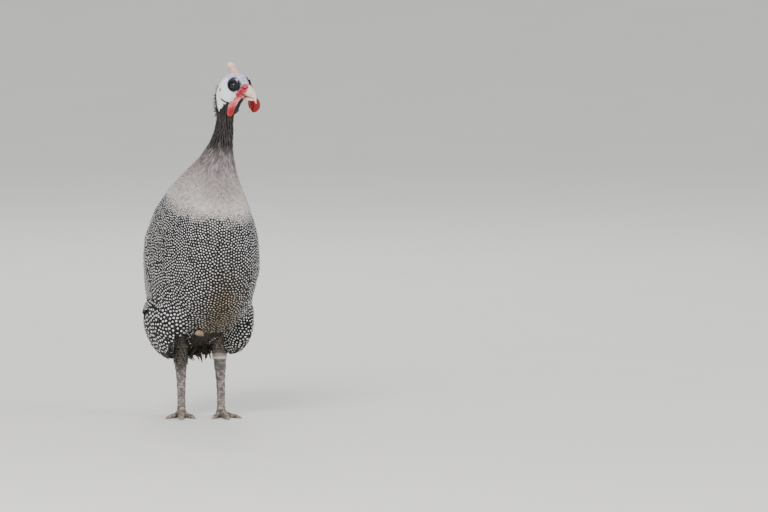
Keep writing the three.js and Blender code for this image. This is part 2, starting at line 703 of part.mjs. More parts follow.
function foot(leg, name) {
  const toes = Object.fromEntries(Object.entries(TOES).map(([key, [heading, ...rest]]) => (
    [key, toe(leg, heading * leg.side, ...rest)])));
  const curve = shankCurve(leg);
  const ankle = column(curve, [0.0, 0.06, 0.12, 0.2], () => SHANK_HALF_WIDTH * 1.12, () => SHANK_HALF_DEPTH * 1.1, 11);
  const ball = ellipsoid([leg.foot[0], leg.foot[1], BALL_Z], BALL_RADII, 10, 6);
  const shape = join([ball, ankle, ...Object.values(toes).map((t) => t.shape)])
    .subtract(join([floorCut, block([600, 600, 100], [0, 0, SHANK_FOOT_Z - GAP / 2 + 50])]));
  const meshes = [node(`foot_${name}`, shape, materials.leg)];
  for (const [key, made] of Object.entries(toes)) {
    const nail = claw(made, CLAW_LENGTH[key]).subtract(floorCut);
    meshes.push(node(`claw_${name}_${key}`, nail, materials.claw));
  }
  return meshes;
}

// Ring worn round the left shank, just under the hock
const BAND_Z = [74.5, 83];
const BAND_RADIUS = 9.7;
const BAND_WALL = 1;

// Centre of the shank at a height
function shankCentre(leg, z) {
  const curve = shankCurve(leg);
  let low = 0;
  let high = 1;
  while (high - low > 1e-4) {
    const share = (low + high) / 2;
    if (curve.getPoint(share).z < z) low = share;
    else high = share;
  }
  return curve.getPoint(low);
}

function legBand(leg) {
  const ring = (radius, z) => Array.from({ length: 18 }, (_, k) => {
    const turn = (2 * Math.PI * k) / 18;
    const centre = shankCentre(leg, z);
    return v3(centre.x + radius * Math.cos(turn), centre.y + radius * Math.sin(turn), z);
  });
  const [low, high] = BAND_Z;
  const inside = BAND_RADIUS - BAND_WALL;
  const bore = loft([ring(inside, low - 1), ring(inside, high + 1)]);
  return loft([ring(BAND_RADIUS, low), ring(BAND_RADIUS, high)]).subtract(bore);
}

// Flank lobes of feathers that hang outside the thighs
const LOBES = {
  left: { centre: [46, 6, 124], radii: [21.5, 52, 44.5], lean: 6 },
  right: { centre: [-46, 15, 118], radii: [22, 53, 45], lean: -15 },
};

// Lobe of a side, with its lower end leaning in towards the leg
function flankLobe({ centre, radii, lean }) {
  const ball = new THREE.SphereGeometry(1, 16, 10);
  ball.scale(...radii);
  ball.rotateY(radians(lean));
  ball.translate(...centre);
  return solid(ball);
}

function torso() {
  const stack = loft(heights(BODY_SLICES[0][0], NECK_BASE_Z + 12, 20, 0.92).map((z) => bodyRing(z, 28)));
  const body = join([stack, flankLobe(LOBES.left), flankLobe(LOBES.right)]);
  return body.subtract(join([
    wingRoom(1), wingRoom(-1), tailBase(TAIL_ROOM, GAP), thigh(LEGS.left, GAP), thigh(LEGS.right, GAP),
    shankRoom(LEGS.left, BAND_RADIUS + 0.5), shankRoom(LEGS.right, HOCK_ROOM),
    block([400, 400, 100], [0, 0, NECK_BASE_Z - GAP / 2 + 50]),
  ]));
}

function neck() {
  const stack = loft(heights(NECK_BASE_Z - 4, BODY_SLICES.at(-1)[0], 10, 1).map((z) => bodyRing(z, 20)));
  return stack.subtract(join([
    block([400, 400, 100], [0, 0, NECK_BASE_Z + GAP / 2 - 50]),
    block([400, 400, 100], [0, 0, NECK_TOP_Z - GAP / 2 + 50]),
  ]));
}

const bird = new THREE.Group();
bird.add(
  node('torso', torso(), materials.plumage),
  node('neck', neck(), materials.neck),
  node('head', head(), materials.skin),
  node('helmet', helmet(0), materials.helmet),
  node('bill_upper', billUpper(0), materials.bill),
  node('bill_lower', billLower(0), materials.bill),
  node('wattle_right', wattle(WATTLES.right, 0), materials.red),
  node('wattle_left', wattle(WATTLES.left, 0), materials.red),
  node('tail', join([tailBase(0), ...tailVanes()]), materials.flight),
);
for (const [name, leg] of Object.entries(LEGS)) {
  const shankCuts = [
    block([400, 400, 100], [0, 0, SHANK_FOOT_Z + GAP / 2 - 50]),
    block([400, 400, 100], [0, 0, HOCK_TOP_Z - GAP / 2 + 50]),
  ];
  const thighCut = block([400, 400, 100], [0, 0, HOCK_TOP_Z + GAP / 2 - 50]);
  bird.add(
    node(`eye_${name}`, eyeball(leg.side, 0), materials.eye),
    node(`wing_${name}`, wing(leg.side), materials.flight),
    node(`thigh_${name}`, thigh(leg, 0).subtract(thighCut), materials.plumage),
    node(`shank_${name}`, shank(leg).subtract(join(shankCuts)), materials.leg),
    ...foot(leg, name),
  );
}
bird.add(node('leg_band', legBand(LEGS.left), materials.band));

// The origin is the middle of the bird's footprint box on the floor
const size = new THREE.Box3().setFromObject(bird);
const middle = size.getCenter(v3(0, 0, 0));
bird.position.set(-middle.x, -middle.y, -size.min.z);

export default bird;
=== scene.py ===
import math

import bmesh
import bpy
import numpy as np
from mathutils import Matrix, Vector
from mathutils.bvhtree import BVHTree
from mathutils.kdtree import KDTree


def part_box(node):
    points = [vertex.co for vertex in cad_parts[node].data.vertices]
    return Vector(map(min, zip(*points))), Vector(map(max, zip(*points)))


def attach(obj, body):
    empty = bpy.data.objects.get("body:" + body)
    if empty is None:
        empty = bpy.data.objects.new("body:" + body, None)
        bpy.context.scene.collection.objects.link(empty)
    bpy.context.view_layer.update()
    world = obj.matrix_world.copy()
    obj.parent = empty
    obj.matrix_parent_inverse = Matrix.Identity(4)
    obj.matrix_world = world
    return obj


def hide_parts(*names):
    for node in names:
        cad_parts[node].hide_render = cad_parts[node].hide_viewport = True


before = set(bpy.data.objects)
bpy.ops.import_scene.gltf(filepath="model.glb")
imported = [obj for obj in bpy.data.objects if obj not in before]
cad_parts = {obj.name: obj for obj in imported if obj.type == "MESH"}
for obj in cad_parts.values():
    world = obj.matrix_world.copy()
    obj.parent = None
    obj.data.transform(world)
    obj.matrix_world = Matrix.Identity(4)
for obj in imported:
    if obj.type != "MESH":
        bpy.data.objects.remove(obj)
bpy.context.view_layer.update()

MM = 0.001
# The head looks towards the bird's left. Its axes are forward, left and up.
YAW = math.radians(26)
AXES = np.array([[math.sin(YAW), -math.cos(YAW), 0], [math.cos(YAW), math.sin(YAW), 0], [0, 0, 1]])
EYE_OWN = np.array([11.0, -99.0, 442.0])
EYEBALL = np.array([2.6, 9.3, -2.2])
# The part's own drawing frame stands this far from the row frame
eye_low, eye_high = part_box("eye_left")
SHIFT = (np.array(eye_low) + np.array(eye_high)) / 2 - (EYE_OWN + EYEBALL @ AXES) * MM
# The barb map counts in centimetres, and each feather's share of the bake map is this wide
BARB_UNIT = 0.01
BAKE_SIZE = 0.0015
rng = np.random.default_rng(11)
SIDES = ((1, "left"), (-1, "right"))


# Small maths

def smooth(x, lo, hi):
    t = np.clip((x - lo) / (hi - lo), 0.0, 1.0)
    return t * t * (3 - 2 * t)


def unit(v):
    return v / np.maximum(np.linalg.norm(v, axis=-1, keepdims=True), 1e-12)


def mix(a, b, t):
    t = np.asarray(t)[..., None]
    return np.asarray(a) * (1 - t) + np.asarray(b) * t


def hashed(*cells):
    """A repeatable number from 0 to 1 for each cell of a pattern."""
    total = sum(np.asarray(c, float) * k for c, k in zip(cells, (12.9898, 78.233, 37.719, 4.581)))
    return np.mod(np.sin(total) * 43758.5453, 1.0)


def wander(p, scale, seed):
    """Slow smooth noise from -1 to 1 at points p, made of crossing waves."""
    q = np.asarray(p) / scale
    total = np.zeros(len(q))
    for k in range(4):
        a = np.array([math.sin(1.7 * k + seed), math.cos(2.3 * k + seed * 1.3), math.sin(3.1 * k + 1 + seed)])
        b = np.array([math.cos(2.9 * k + seed), math.sin(1.3 * k + 2 + seed), math.cos(0.7 * k + seed)])
        total += np.sin(q @ a * (1.3 + 0.5 * k) + 2.1 * np.sin(q @ b * 1.1 + k))
    return total / 3.2


def squared(v, ahead):
    """Directions v turned square to the directions ahead."""
    return unit(v - ahead * np.sum(v * ahead, -1, keepdims=True))


def layered(base, *over):
    """Colours laid over a base one after another, each given with its share."""
    for colour, share in over:
        base = mix(base, colour, share)
    return base


def even_out(rows, passes):
    """Smooths rows of points along their length, in place. Their ends stay."""
    for _ in range(passes):
        rows[:, 1:-1] = (rows[:, :-2] + 2 * rows[:, 1:-1] + rows[:, 2:]) / 4


def tree_of(points):
    tree = KDTree(len(points))
    for k, p in enumerate(points.tolist()):
        tree.insert(p, k)
    tree.balance()
    return tree


# Mesh making

def placed(name, data):
    """A new object in the scene."""
    obj = bpy.data.objects.new(name, data)
    bpy.context.collection.objects.link(obj)
    return obj


def build(name, co, faces, material, uvs=None, colours=None):
    me = bpy.data.meshes.new(name)
    sides = faces.shape[1]
    me.vertices.add(len(co))
    me.vertices.foreach_set("co", np.ascontiguousarray(co, dtype=np.float32).ravel())
    me.loops.add(faces.size)
    me.loops.foreach_set("vertex_index", faces.astype(np.int32).ravel())
    me.polygons.add(len(faces))
    me.polygons.foreach_set("loop_start", np.arange(0, faces.size, sides, dtype=np.int32))
    me.polygons.foreach_set("use_smooth", np.ones(len(faces), dtype=bool))
    me.update(calc_edges=True)
    for key, uv in (uvs or {}).items():
        layer = me.uv_layers.new(name=key)
        layer.data.foreach_set("uv", uv[faces.ravel()].astype(np.float32).ravel())
    for key, rgb in (colours or {}).items():
        paint(me, key, rgb)
    me.materials.append(material)
    return placed(name, me)


def paint(me, key, rgb):
    rgba = np.ones((len(me.vertices), 4), dtype=np.float32)
    rgba[:, :3] = rgb
    me.color_attributes.new(key, "FLOAT_COLOR", "POINT").data.foreach_set("color", rgba.ravel())


def values_of(items, key, width, kind=np.float32):
    """One property of a mesh's points, edges, triangles or corners, in rows."""
    out = np.empty(len(items) * width, dtype=kind)
    items.foreach_get(key, out)
    return out.reshape(-1, width)


def points_of(me):
    return values_of(me.vertices, "co", 3).astype(float)


def normals_of(me):
    return values_of(me.vertex_normals, "vector", 3).astype(float)


def edges_of(me):
    return values_of(me.edges, "vertices", 2, np.int32)


def triangles_of(me):
    me.calc_loop_triangles()
    return values_of(me.loop_triangles, "vertices", 3, np.int32)


def mesh_tree(me):
    return BVHTree.FromPolygons(points_of(me).tolist(), triangles_of(me).tolist())


def step_to_mean(co, e, count):
    """The way from each point to the mean of its neighbours."""
    total = np.zeros_like(co)
    for axis in range(3):
        total[:, axis] = (np.bincount(e[:, 0], co[e[:, 1], axis], len(co))
                          + np.bincount(e[:, 1], co[e[:, 0], axis], len(co)))
    return total / count - co


def neighbours(me):
    """Points, edges and how many neighbours each point has."""
    co, e = points_of(me), edges_of(me)
    return co, e, np.maximum(np.bincount(e.ravel(), minlength=len(co))[:, None], 1)


def relax(me, passes, share=0.5):
    """Evens a mesh out: each point moves towards the mean of its neighbours, and then most of the way back."""
    co, e, count = neighbours(me)
    for _ in range(passes):
        for factor in (share, -share * 0.9):
            co += step_to_mean(co, e, count) * factor
    move(me, co)


def fill_creases(me, passes, share):
    """Lifts hollow places towards their neighbours and leaves rounded ones alone, as loose plumage does."""
    co, e, count = neighbours(me)
    for turn in range(passes):
        if turn % 10 == 0:
            move(me, co)
            n = normals_of(me)
        step = step_to_mean(co, e, count)
        out = np.sum(step * n, 1, keepdims=True)
        co += step * (out > 0) * share[:, None]
    move(me, co)


def move(me, co):
    me.vertices.foreach_set("co", np.ascontiguousarray(co, dtype=np.float32).ravel())
    me.update()


def modified(obj):
    """A new mesh: the object's own with its modifiers applied."""
    return bpy.data.meshes.new_from_object(obj.evaluated_get(bpy.context.evaluated_depsgraph_get()))


def apply_modifiers(obj):
    made = modified(obj)
    obj.modifiers.clear()
    obj.data = made
    made.polygons.foreach_set("use_smooth", np.ones(len(made.polygons), dtype=bool))


def carved(me, cutter):
    """A copy of a closed mesh with a closed form taken out of it."""
    solid = placed("solid", me)
    mod = solid.modifiers.new("carve", "BOOLEAN")
    mod.operation = "DIFFERENCE"
    mod.solver = "EXACT"
    mod.object = cutter
    made = modified(solid)
    bpy.data.objects.remove(solid)
    return made


def fused(name, nodes, voxel, passes, grow=0.0, extra=None, cutter=None):
    """One closed fine mesh made from copies of CAD nodes and any extra forms."""
    bm = bmesh.new()
    for node in nodes:
        part = bmesh.new()
        part.from_mesh(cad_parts[node].data)
        bmesh.ops.remove_doubles(part, verts=part.verts, dist=1e-6)
        part.normal_update()
        if grow:
            for v in part.verts:
                v.co += v.normal * grow
        me = bpy.data.meshes.new("part")
        part.to_mesh(me)
        part.free()
        if cutter and node == "torso":
            whole, me = me, carved(me, cutter)
            bpy.data.meshes.remove(whole)
        bm.from_mesh(me)
        bpy.data.meshes.remove(me)
    if extra:
        extra(bm)
    me = bpy.data.meshes.new(name)
    bm.to_mesh(me)
    bm.free()
    obj = placed(name, me)
    mod = obj.modifiers.new("fuse", "REMESH")
    mod.mode = "VOXEL"
    mod.voxel_size = voxel
    mod.adaptivity = 0
    apply_modifiers(obj)
    bpy.data.meshes.remove(me)
    obj.data.name = name
    relax(obj.data, passes)
    return obj


def thinned(obj, ratio):
    obj.modifiers.new("thin", "DECIMATE").ratio = ratio
    apply_modifiers(obj)


def finish_piece(obj, slot, *nodes):
    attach(obj, "root")
    if nodes:
        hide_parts(*nodes)
    return obj


# Materials

class Nodes:
    """A short way to wire one material."""

    def __init__(self, name, **sockets):
        self.mat = bpy.data.materials.new(name)
        self.mat.use_nodes = True
        self.tree = self.mat.node_tree
        self.shader = self.tree.nodes["Principled BSDF"]
        for key, value in sockets.items():
            self.shader.inputs[key.replace("_", " ")].default_value = value

    def node(self, kind, inputs=None, **settings):
        n = self.tree.nodes.new(kind)
        for key, value in settings.items():
            setattr(n, key, value)
        for key, value in (inputs or {}).items():
            if isinstance(value, bpy.types.NodeSocket):
                self.tree.links.new(value, n.inputs[key])
            else:
                n.inputs[key].default_value = value
        return n

    def colour(self, name):
        return self.node("ShaderNodeVertexColor", layer_name=name).outputs["Color"]

    def uv(self, name):
        return self.node("ShaderNodeUVMap", uv_map=name).outputs["UV"]

    def place(self):
        return self.node("ShaderNodeTexCoord").outputs["Object"]

    def noise(self, vector, scale, detail, roughness=0.55):
        return self.node("ShaderNodeTexNoise", {"Vector": vector, "Scale": scale, "Detail": detail,
                                                "Roughness": roughness}).outputs["Fac"]

    def cells(self, vector, scale):
        return self.node("ShaderNodeTexVoronoi", {"Vector": vector, "Scale": scale}).outputs["Distance"]

    def ramp(self, value, lo, hi, out_lo, out_hi):
        return self.node("ShaderNodeMapRange", {"Value": value, "From Min": lo, "From Max": hi, "To Min": out_lo,
                                                "To Max": out_hi}).outputs["Result"]

    def maths(self, operation, a, b=0.0):
        return self.node("ShaderNodeMath", {0: a, 1: b}, operation=operation).outputs[0]

    def sum_of(self, a, share_a, b, share_b):
        """Two values added, each times its share."""
        return self.maths("ADD", self.maths("MULTIPLY", a, share_a), self.maths("MULTIPLY", b, share_b))

    def stretch(self, vector, scale):
        return self.node("ShaderNodeMapping", {"Vector": vector, "Scale": scale}).outputs["Vector"]

    def blend(self, factor, a, b, kind="MIX"):
        a, b = (v if isinstance(v, bpy.types.NodeSocket) else (*v, 1.0) for v in (a, b))
        return self.node("ShaderNodeMix", {0: factor, 6: a, 7: b}, data_type="RGBA", blend_type=kind).outputs[2]

    def shaded(self, colour, shade):
        """A colour times one value."""
        grey = self.node("ShaderNodeCombineXYZ", {"X": shade, "Y": shade, "Z": shade}).outputs[0]
        return self.blend(1.0, colour, grey, "MULTIPLY")

    def done(self, colour, roughness, height, depth, strength):
        """Wires the shader and gives the finished material."""
        bump = self.node("ShaderNodeBump", {"Height": height, "Distance": depth, "Strength": strength})
        for key, value in (("Base Color", colour), ("Roughness", roughness), ("Normal", bump.outputs["Normal"])):
            self.tree.links.new(value, self.shader.inputs[key])
        return self.mat


def feather_material(name, barb, contrast, rough=(0.5, 0.72)):
    """Barbs slant away from the shaft on both sides, in tenths of a millimetre, over the feather's own tint."""
    m = Nodes(name, Specular_IOR_Level=0.18)
    part = m.node("ShaderNodeSeparateXYZ", {"Vector": m.uv("vane")})
    along, side = part.outputs["X"], m.maths("ABSOLUTE", part.outputs["Y"])
    slant = m.maths("SUBTRACT", along, m.maths("MULTIPLY", side, 0.9))
    where = m.node("ShaderNodeCombineXYZ", {"X": slant, "Y": m.maths("MULTIPLY", side, 0.12)}).outputs[0]
    barbs = m.noise(where, 34.0 * barb, 2.0)
    clumps = m.noise(where, 9.0 * barb, 2.0)
    shaft = m.ramp(side, 0.008, 0.03, 1.0, 0.0)
    shade = m.ramp(m.sum_of(barbs, 0.6, clumps, 0.4), 0.3, 0.7, 1 - contrast, 1 + contrast)
    colour = m.shaded(m.colour("tint"), shade)
    colour = m.blend(m.maths("MULTIPLY", shaft, 0.35), colour, (0.3, 0.26, 0.22))
    return m.done(colour, m.ramp(clumps, 0.3, 0.7, *rough), m.sum_of(barbs, 0.5, shaft, 0.8), 0.00018, 0.7)


def painted_material(name, scale, fine, depth, rough, mottling, wrinkle=0.0, **sockets):
    """A surface that carries its markings as painted colour, with mottling, pores and creases of its own."""
    m = Nodes(name, **sockets)
    p = m.place()
    broad = m.noise(p, scale, 4.0)
    grain = m.cells(p, fine)
    dust = m.noise(p, fine * 0.6, 3.0)
    shade = m.ramp(m.sum_of(broad, 0.6, dust, 0.4), 0.3, 0.7, 1 - mottling, 1 + mottling)
    colour = m.shaded(m.colour("paint"), shade)
    height = m.sum_of(grain, 0.6, dust, 0.6)
    if wrinkle:
        crease = m.noise(m.stretch(p, (1.0, 1.0, 3.5)), fine * 0.35, 3.0)
        height = m.maths("ADD", height, m.maths("MULTIPLY", crease, wrinkle))
    return m.done(colour, m.ramp(broad, 0.3, 0.7, *rough), height, depth, 0.7)


FEATHER = feather_material("contour_feather", 1.0, 0.22)
HACKLE = feather_material("neck_hackle", 1.3, 0.45, (0.55, 0.8))
FLIGHT = feather_material("flight_feather", 0.8, 0.3, (0.42, 0.62))
SKIN = painted_material("bare_skin", 300, 1900, 0.00025, (0.42, 0.62), 0.12, 0.9,
                        Specular_IOR_Level=0.25, Subsurface_Weight=0.12, Subsurface_Scale=0.002)
WATTLE = painted_material("wattle_skin", 320, 1500, 0.0003, (0.3, 0.48), 0.16, 0.6,
                          Subsurface_Weight=0.2, Subsurface_Scale=0.002)
HORN = painted_material("casque_horn", 260, 900, 0.0002, (0.35, 0.55), 0.16, 0.8)
BILL = painted_material("bill_horn", 300, 1200, 0.00012, (0.26, 0.42), 0.1, 0.5)
LEG = painted_material("leg_scale", 420, 2200, 0.00015, (0.42, 0.66), 0.22, 0.3)
CLAW = painted_material("claw_horn", 400, 1500, 0.0001, (0.3, 0.5), 0.25, 0.7)
BAND = painted_material("band_plastic", 500, 2600, 0.00005, (0.3, 0.42), 0.06)
PEARL = painted_material("pearl_spot", 500, 3000, 0.00008, (0.5, 0.7), 0.08)


def eye_material():
    m = Nodes("eye_gloss", Coat_Weight=0.7, Coat_Roughness=0.02, Roughness=0.3, Specular_IOR_Level=0.1)
    fleck = m.noise(m.place(), 900, 4.0)
    colour = m.blend(m.ramp(fleck, 0.35, 0.65, 0.0, 0.45), m.colour("paint"), (0.012, 0.008, 0.006), "MULTIPLY")
    return m.done(colour, m.ramp(fleck, 0.3, 0.7, 0.2, 0.3), fleck, 0.00003, 0.2)


EYE = eye_material()


# Camera, light and floor

TURN, RISE, FAR, WIDE = math.radians(-22), math.radians(5), 25.0, 0.9984
look = Vector((math.sin(TURN) * math.cos(RISE), -math.cos(TURN) * math.cos(RISE), math.sin(RISE)))
target = Vector((0.2272, -0.0738, 0.2085))
camera = placed("camera", bpy.data.cameras.new("camera"))
camera.data.sensor_width = 36
camera.data.lens = 36 * FAR / WIDE
camera.data.clip_end = 200
camera.location = target + look * FAR
camera.rotation_euler = (-look).to_track_quat("-Z", "Y").to_euler()
bpy.context.scene.camera = camera


def lamp(name, place, aim, size, power, colour):
    light = bpy.data.lights.new(name, "AREA")
    light.shape = "DISK"
    light.size = size
    light.energy = power
    light.color = colour
    obj = placed(name, light)
    obj.location = place
    obj.rotation_euler = (Vector(aim) - Vector(place)).to_track_quat("-Z", "Y").to_euler()


lamp("key_light", (-1.9, -2.3, 2.4), (0, 0, 0.25), 1.5, 100, (1.0, 0.98, 0.95))
lamp("fill_light", (2.4, -2.0, 1.3), (0, 0, 0.22), 2.0, 36, (0.95, 0.98, 1.0))
lamp("rim_light", (0.9, 2.4, 2.0), (0, 0, 0.25), 1.2, 26, (1.0, 1.0, 1.0))
world = bpy.data.worlds.new("studio")
world.use_nodes = True
world.node_tree.nodes["Background"].inputs["Color"].default_value = (0.86, 0.88, 0.88, 1)
world.node_tree.nodes["Background"].inputs["Strength"].default_value = 0.92
bpy.context.scene.world = world

ground = Nodes("floor_plain", Roughness=0.85)
grit = ground.noise(ground.place(), 6.0, 4.0)
ground.done(ground.blend(grit, (0.78, 0.765, 0.72), (0.84, 0.825, 0.78)), ground.ramp(grit, 0.3, 0.7, 0.8, 0.9), grit,
            0.0005, 0.2)
HALF = 40.0
corners = np.array([[-HALF, -HALF, 0], [HALF, -HALF, 0], [HALF, HALF, 0], [-HALF, HALF, 0]])
floor = build("floor", corners, np.array([[0, 1, 2, 3]]), ground.mat)


# The head's own frame

EYES = EYE_OWN * MM + SHIFT


def to_head(co):
    """Forward, left and up of the middle between the eyes, in millimetres."""
    return (co - EYES) @ AXES.T / MM


def from_head(f, l, u):
    return EYES + np.array([f, l, u], float) @ AXES * MM


# Skin under the feathers

def lobe_share(co):
    """1 on the flank feathers that hang round the thighs."""
    return smooth(np.abs(co[:, 0]), 0.028, 0.044) * smooth(co[:, 2], 0.165, 0.140)


def coat_depth(co):
    """How far the skin lies under the tips of the feathers."""
    z = co[:, 2]
    return 0.0026 * smooth(z, 0.41, 0.33) + 0.0012 * smooth(z, 0.418, 0.40) * smooth(z, 0.32, 0.42)


def leg_opening():
    """The flank feathers part in front of the right leg: a rounded slot from the leg towards the breast."""
    ahead, across = np.array([-0.375, -0.927, 0.0]), np.array([0.927, -0.375, 0.0])
    # Height, half width and middle of each cross-section
    rings = [(62, 8.6, -19, 29), (88, 8.6, -19, 29), (97, 8.8, -21, 22.7), (104, 7.4, -22, 20),
             (108, 3.5, -22.7, 18.3)]
    bend, breast = 9, 60
    co = []
    for z, half, x, y in rings:
        middle = np.array([x, y, z])
        for k in range(bend):
            a = math.pi * k / (bend - 1)
            co.append(middle - ahead * 2 + across * half * math.cos(a) - ahead * half * 0.5 * math.sin(a))
        co.append(middle + ahead * breast - across * half)
        co.append(middle + ahead * breast + across * half)
    each = bend + 2
    bm = bmesh.new()
    verts = [bm.verts.new(p * MM + SHIFT) for p in co]
    for r in range(len(rings) - 1):
        for k in range(each):
            a, b = r * each + k, r * each + (k + 1) % each
            bm.faces.new([verts[a], verts[b], verts[b + each], verts[a + each]])
    bm.faces.new(verts[:each][::-1])
    bm.faces.new(verts[-each:])
    bmesh.ops.recalc_face_normals(bm, faces=bm.faces)
    me = bpy.data.meshes.new("opening")
    bm.to_mesh(me)
    bm.free()
    return placed("opening", me)


opening = leg_opening()
form = fused("form", ["torso", "neck", "thigh_left", "thigh_right", "wing_left", "wing_right"], 0.0016, 14,
             grow=0.00025, cutter=opening)
bpy.data.objects.remove(opening)
form_co = points_of(form.data)
# The folds beside the wings and over the lobes are filled on the flanks alone
flank = smooth(np.abs(form_co[:, 0]), 0.026, 0.036) * smooth(form_co[:, 2], 0.112, 0.128)
flank *= smooth(form_co[:, 2], 0.30, 0.285)
flank *= smooth(form_co[:, 1], 0.092, 0.078)
fill_creases(form.data, 380, flank)
relax(form.data, 4)
form_co = points_of(form.data)
form_tris = triangles_of(form.data)
skin_co = form_co - normals_of(form.data) * coat_depth(form_co)[:, None]
move(form.data, skin_co)
relax(form.data, 6)
skin_co = points_of(form.data)
skin_n = normals_of(form.data)
SKIN_TREE = BVHTree.FromPolygons(skin_co.tolist(), form_tris.tolist())
NORMAL_TREE = tree_of(skin_co)


def conform(points, heights):
    """Points brought onto the skin and raised by their heights along its normal."""
    out = np.empty_like(points)
    near = np.empty(len(points), dtype=int)
    for k, p in enumerate(points.tolist()):
        spot = SKIN_TREE.find_nearest(p)[0]
        out[k] = spot
        near[k] = NORMAL_TREE.find(spot)[1]
    return out + skin_n[near] * heights[:, None]


def unwrap(co):
    """The skin's own unwrap: round the body's middle line, and along it from the neck to the tail."""
    middle_y = np.interp(co[:, 2], [0.10, 0.2, 0.30, 0.34, 0.40], [0.02, 0.0, -0.03, -0.05, -0.078])
    turn = np.arctan2(co[:, 0], -(co[:, 1] - middle_y)) / (2 * math.pi) + 0.5
    reach = np.hypot(co[:, 0], co[:, 1] - middle_y)
    down = (0.47 - co[:, 2]) + np.clip(0.06 - reach, 0, 0.06) * (co[:, 2] < 0.2)
    return np.stack([0.02 + 0.96 * turn, 0.02 + 0.96 * np.clip(down / 0.5, 0, 1)], 1)


# Where feathers grow

def flow(co, n):
    """The lie of the coat: down the neck and breast, back under the belly and along the back."""
    lie = np.tile([0.0, 0.45, -0.9], (len(co), 1))
    hang = lobe_share(co)[:, None]
    lie = lie * (1 - hang) + np.array([0.0, 0.12, -1.0]) * hang
    back = smooth(co[:, 1], -0.02, 0.05) * smooth(co[:, 2], 0.17, 0.24)
    lie += back[:, None] * np.array([0.0, 0.5, 0.1])
    lie[:, 0] += 0.18 * wander(co, 0.03, 3.0)
    return squared(lie, n)


def bib_edge(co):
    """Millimetres past the plain bib and collar, along the coat: below 0 is plain."""
    y, z = co[:, 1] / MM, co[:, 2] / MM
    return 0.2 * (y + 80) + (334 - z) + np.maximum(0, y) * 0.8 - 51 + 3 * wander(co, 0.02, 1.0)


def spot_gap(co):
    """Distance between white spots."""
    past = bib_edge(co)
    gap = 2.75 + 0.35 * smooth(past, 0, 40) + 0.45 * smooth(past, 40, 120)
    gap += (0.1 + 0.75 * smooth(co[:, 0], 0.01, -0.01)) * lobe_share(co)
    gap += 0.25 * smooth(np.abs(co[:, 0]), 0.045, 0.06) * smooth(co[:, 2], 0.2, 0.14)
    return gap * (1 - 0.33 * thigh_share(co)) * MM


def scatter(gap, allowed, thick=6.0, tight=0.84):
    """Points over the skin, no two nearer than their gap, with their normals."""
    a, b, c = (skin_co[form_tris[:, k]] for k in range(3))
    centre = (a + b + c) / 3
    area = 0.5 * np.linalg.norm(np.cross(b - a, c - a), axis=1)
    g = gap(centre)
    weight = np.where(allowed(centre), area / g ** 2, 0.0)
    count = int(weight.sum() * thick)
    pick = rng.choice(len(form_tris), count, p=weight / weight.sum())
    r = np.sqrt(rng.random((count, 1)))
    s = rng.random((count, 1))
    points = a[pick] * (1 - r) + b[pick] * r * (1 - s) + c[pick] * r * s
    gaps = gap(points) * tight
    tree = tree_of(points)
    free = np.ones(count, dtype=bool)
    kept = []
    for k, p in enumerate(points.tolist()):
        if free[k]:
            kept.append(k)
            for _, j, _ in tree.find_range(p, gaps[k]):
                free[j] = False
    corners = form_tris[pick[kept]]
    return points[kept], unit(skin_n[corners[:, 0]] + skin_n[corners[:, 1]] + skin_n[corners[:, 2]])


def settle(points, gap, passes, reach=1.3, push_share=0.11):
    """Pushes points apart until they stand in even rows."""
    for turn in range(passes):
        if turn % 3 == 0:
            tree = tree_of(points)
            near = np.array([[j for _, j, _ in tree.find_n(p, 9)] for p in points.tolist()])
            want = gap(points)[:, None] * reach
        away = points[:, None] - points[near]
        dist = np.linalg.norm(away, axis=2)
        push = np.where((dist > 1e-9) & (dist < want), (want - dist) / np.maximum(dist, 1e-9), 0)
        points = points + (away * push[..., None]).sum(1) * push_share
        if turn % 3 == 2:
            points = conform(points, np.zeros(len(points)))
    return points


def grid_faces(rows, cols):
    i = np.arange(rows * cols)
    a = (i // cols) * (cols + 1) + i % cols
    return np.stack([a, a + 1, a + cols + 2, a + cols + 1], 1)


def outline(u, shape):
    """Half width along a feather from root to tip, 1 at the widest."""
    rise, full, sharp = shape
    taper = np.clip(1 - np.clip((u - full) / (1 - full), 0, 1) ** sharp, 0.02, 1) ** 0.6
    return np.minimum(1, 0.25 + 0.75 * (u / rise) ** 0.8) * taper


def coat(name, roots, normals, ahead, length, width, lift, tint, material, shape=(0.3, 0.5, 2.2), rows=8, cols=4,
         cup=0.0003, ragged=0.05):
    """Overlapping vanes that lie along the skin. lift gives the heights of root and tip over it."""
    count = len(roots)
    u = np.linspace(0, 1, rows + 1)
    v = np.linspace(-1, 1, cols + 1)
    uu, vv = np.meshgrid(u, v, indexing="ij")
    uu, vv = uu.ravel(), vv.ravel()
    side = np.cross(normals, ahead)
    wide = outline(uu, shape)
    length, width = np.broadcast_to(length, count), np.broadcast_to(width, count)
    jag = 1 + ragged * rng.standard_normal((count, len(uu))) * (np.abs(vv) > 0.9) * (uu > 0.4)
    fray = ragged * 0.6 * rng.standard_normal((count, len(uu))) * (uu > 0.99)
    # The tip edge is rounded: its outer points stand back
    x = (uu - 0.10 * vv ** 2 * uu ** 3 + fray) * length[:, None]
    y = vv * wide * jag * width[:, None] / 2
    co = roots[:, None] + ahead[:, None] * x[..., None] + side[:, None] * y[..., None]
    tall = lift[0] + (lift[1] - lift[0]) * uu ** 0.85 - cup * vv ** 2
    tall = tall + rng.normal(0, 0.00012, (count, 1))
    co = conform(co.reshape(-1, 3), tall.ravel())
    faces = (grid_faces(rows, cols)[None] + (np.arange(count) * len(uu))[:, None, None]).reshape(-1, 4)
    vane = np.stack([x.ravel(), y.ravel()], 1) / BARB_UNIT
    return dressed(name, co, faces, vane, roots, len(uu), np.repeat(tint, len(uu), 0), material)


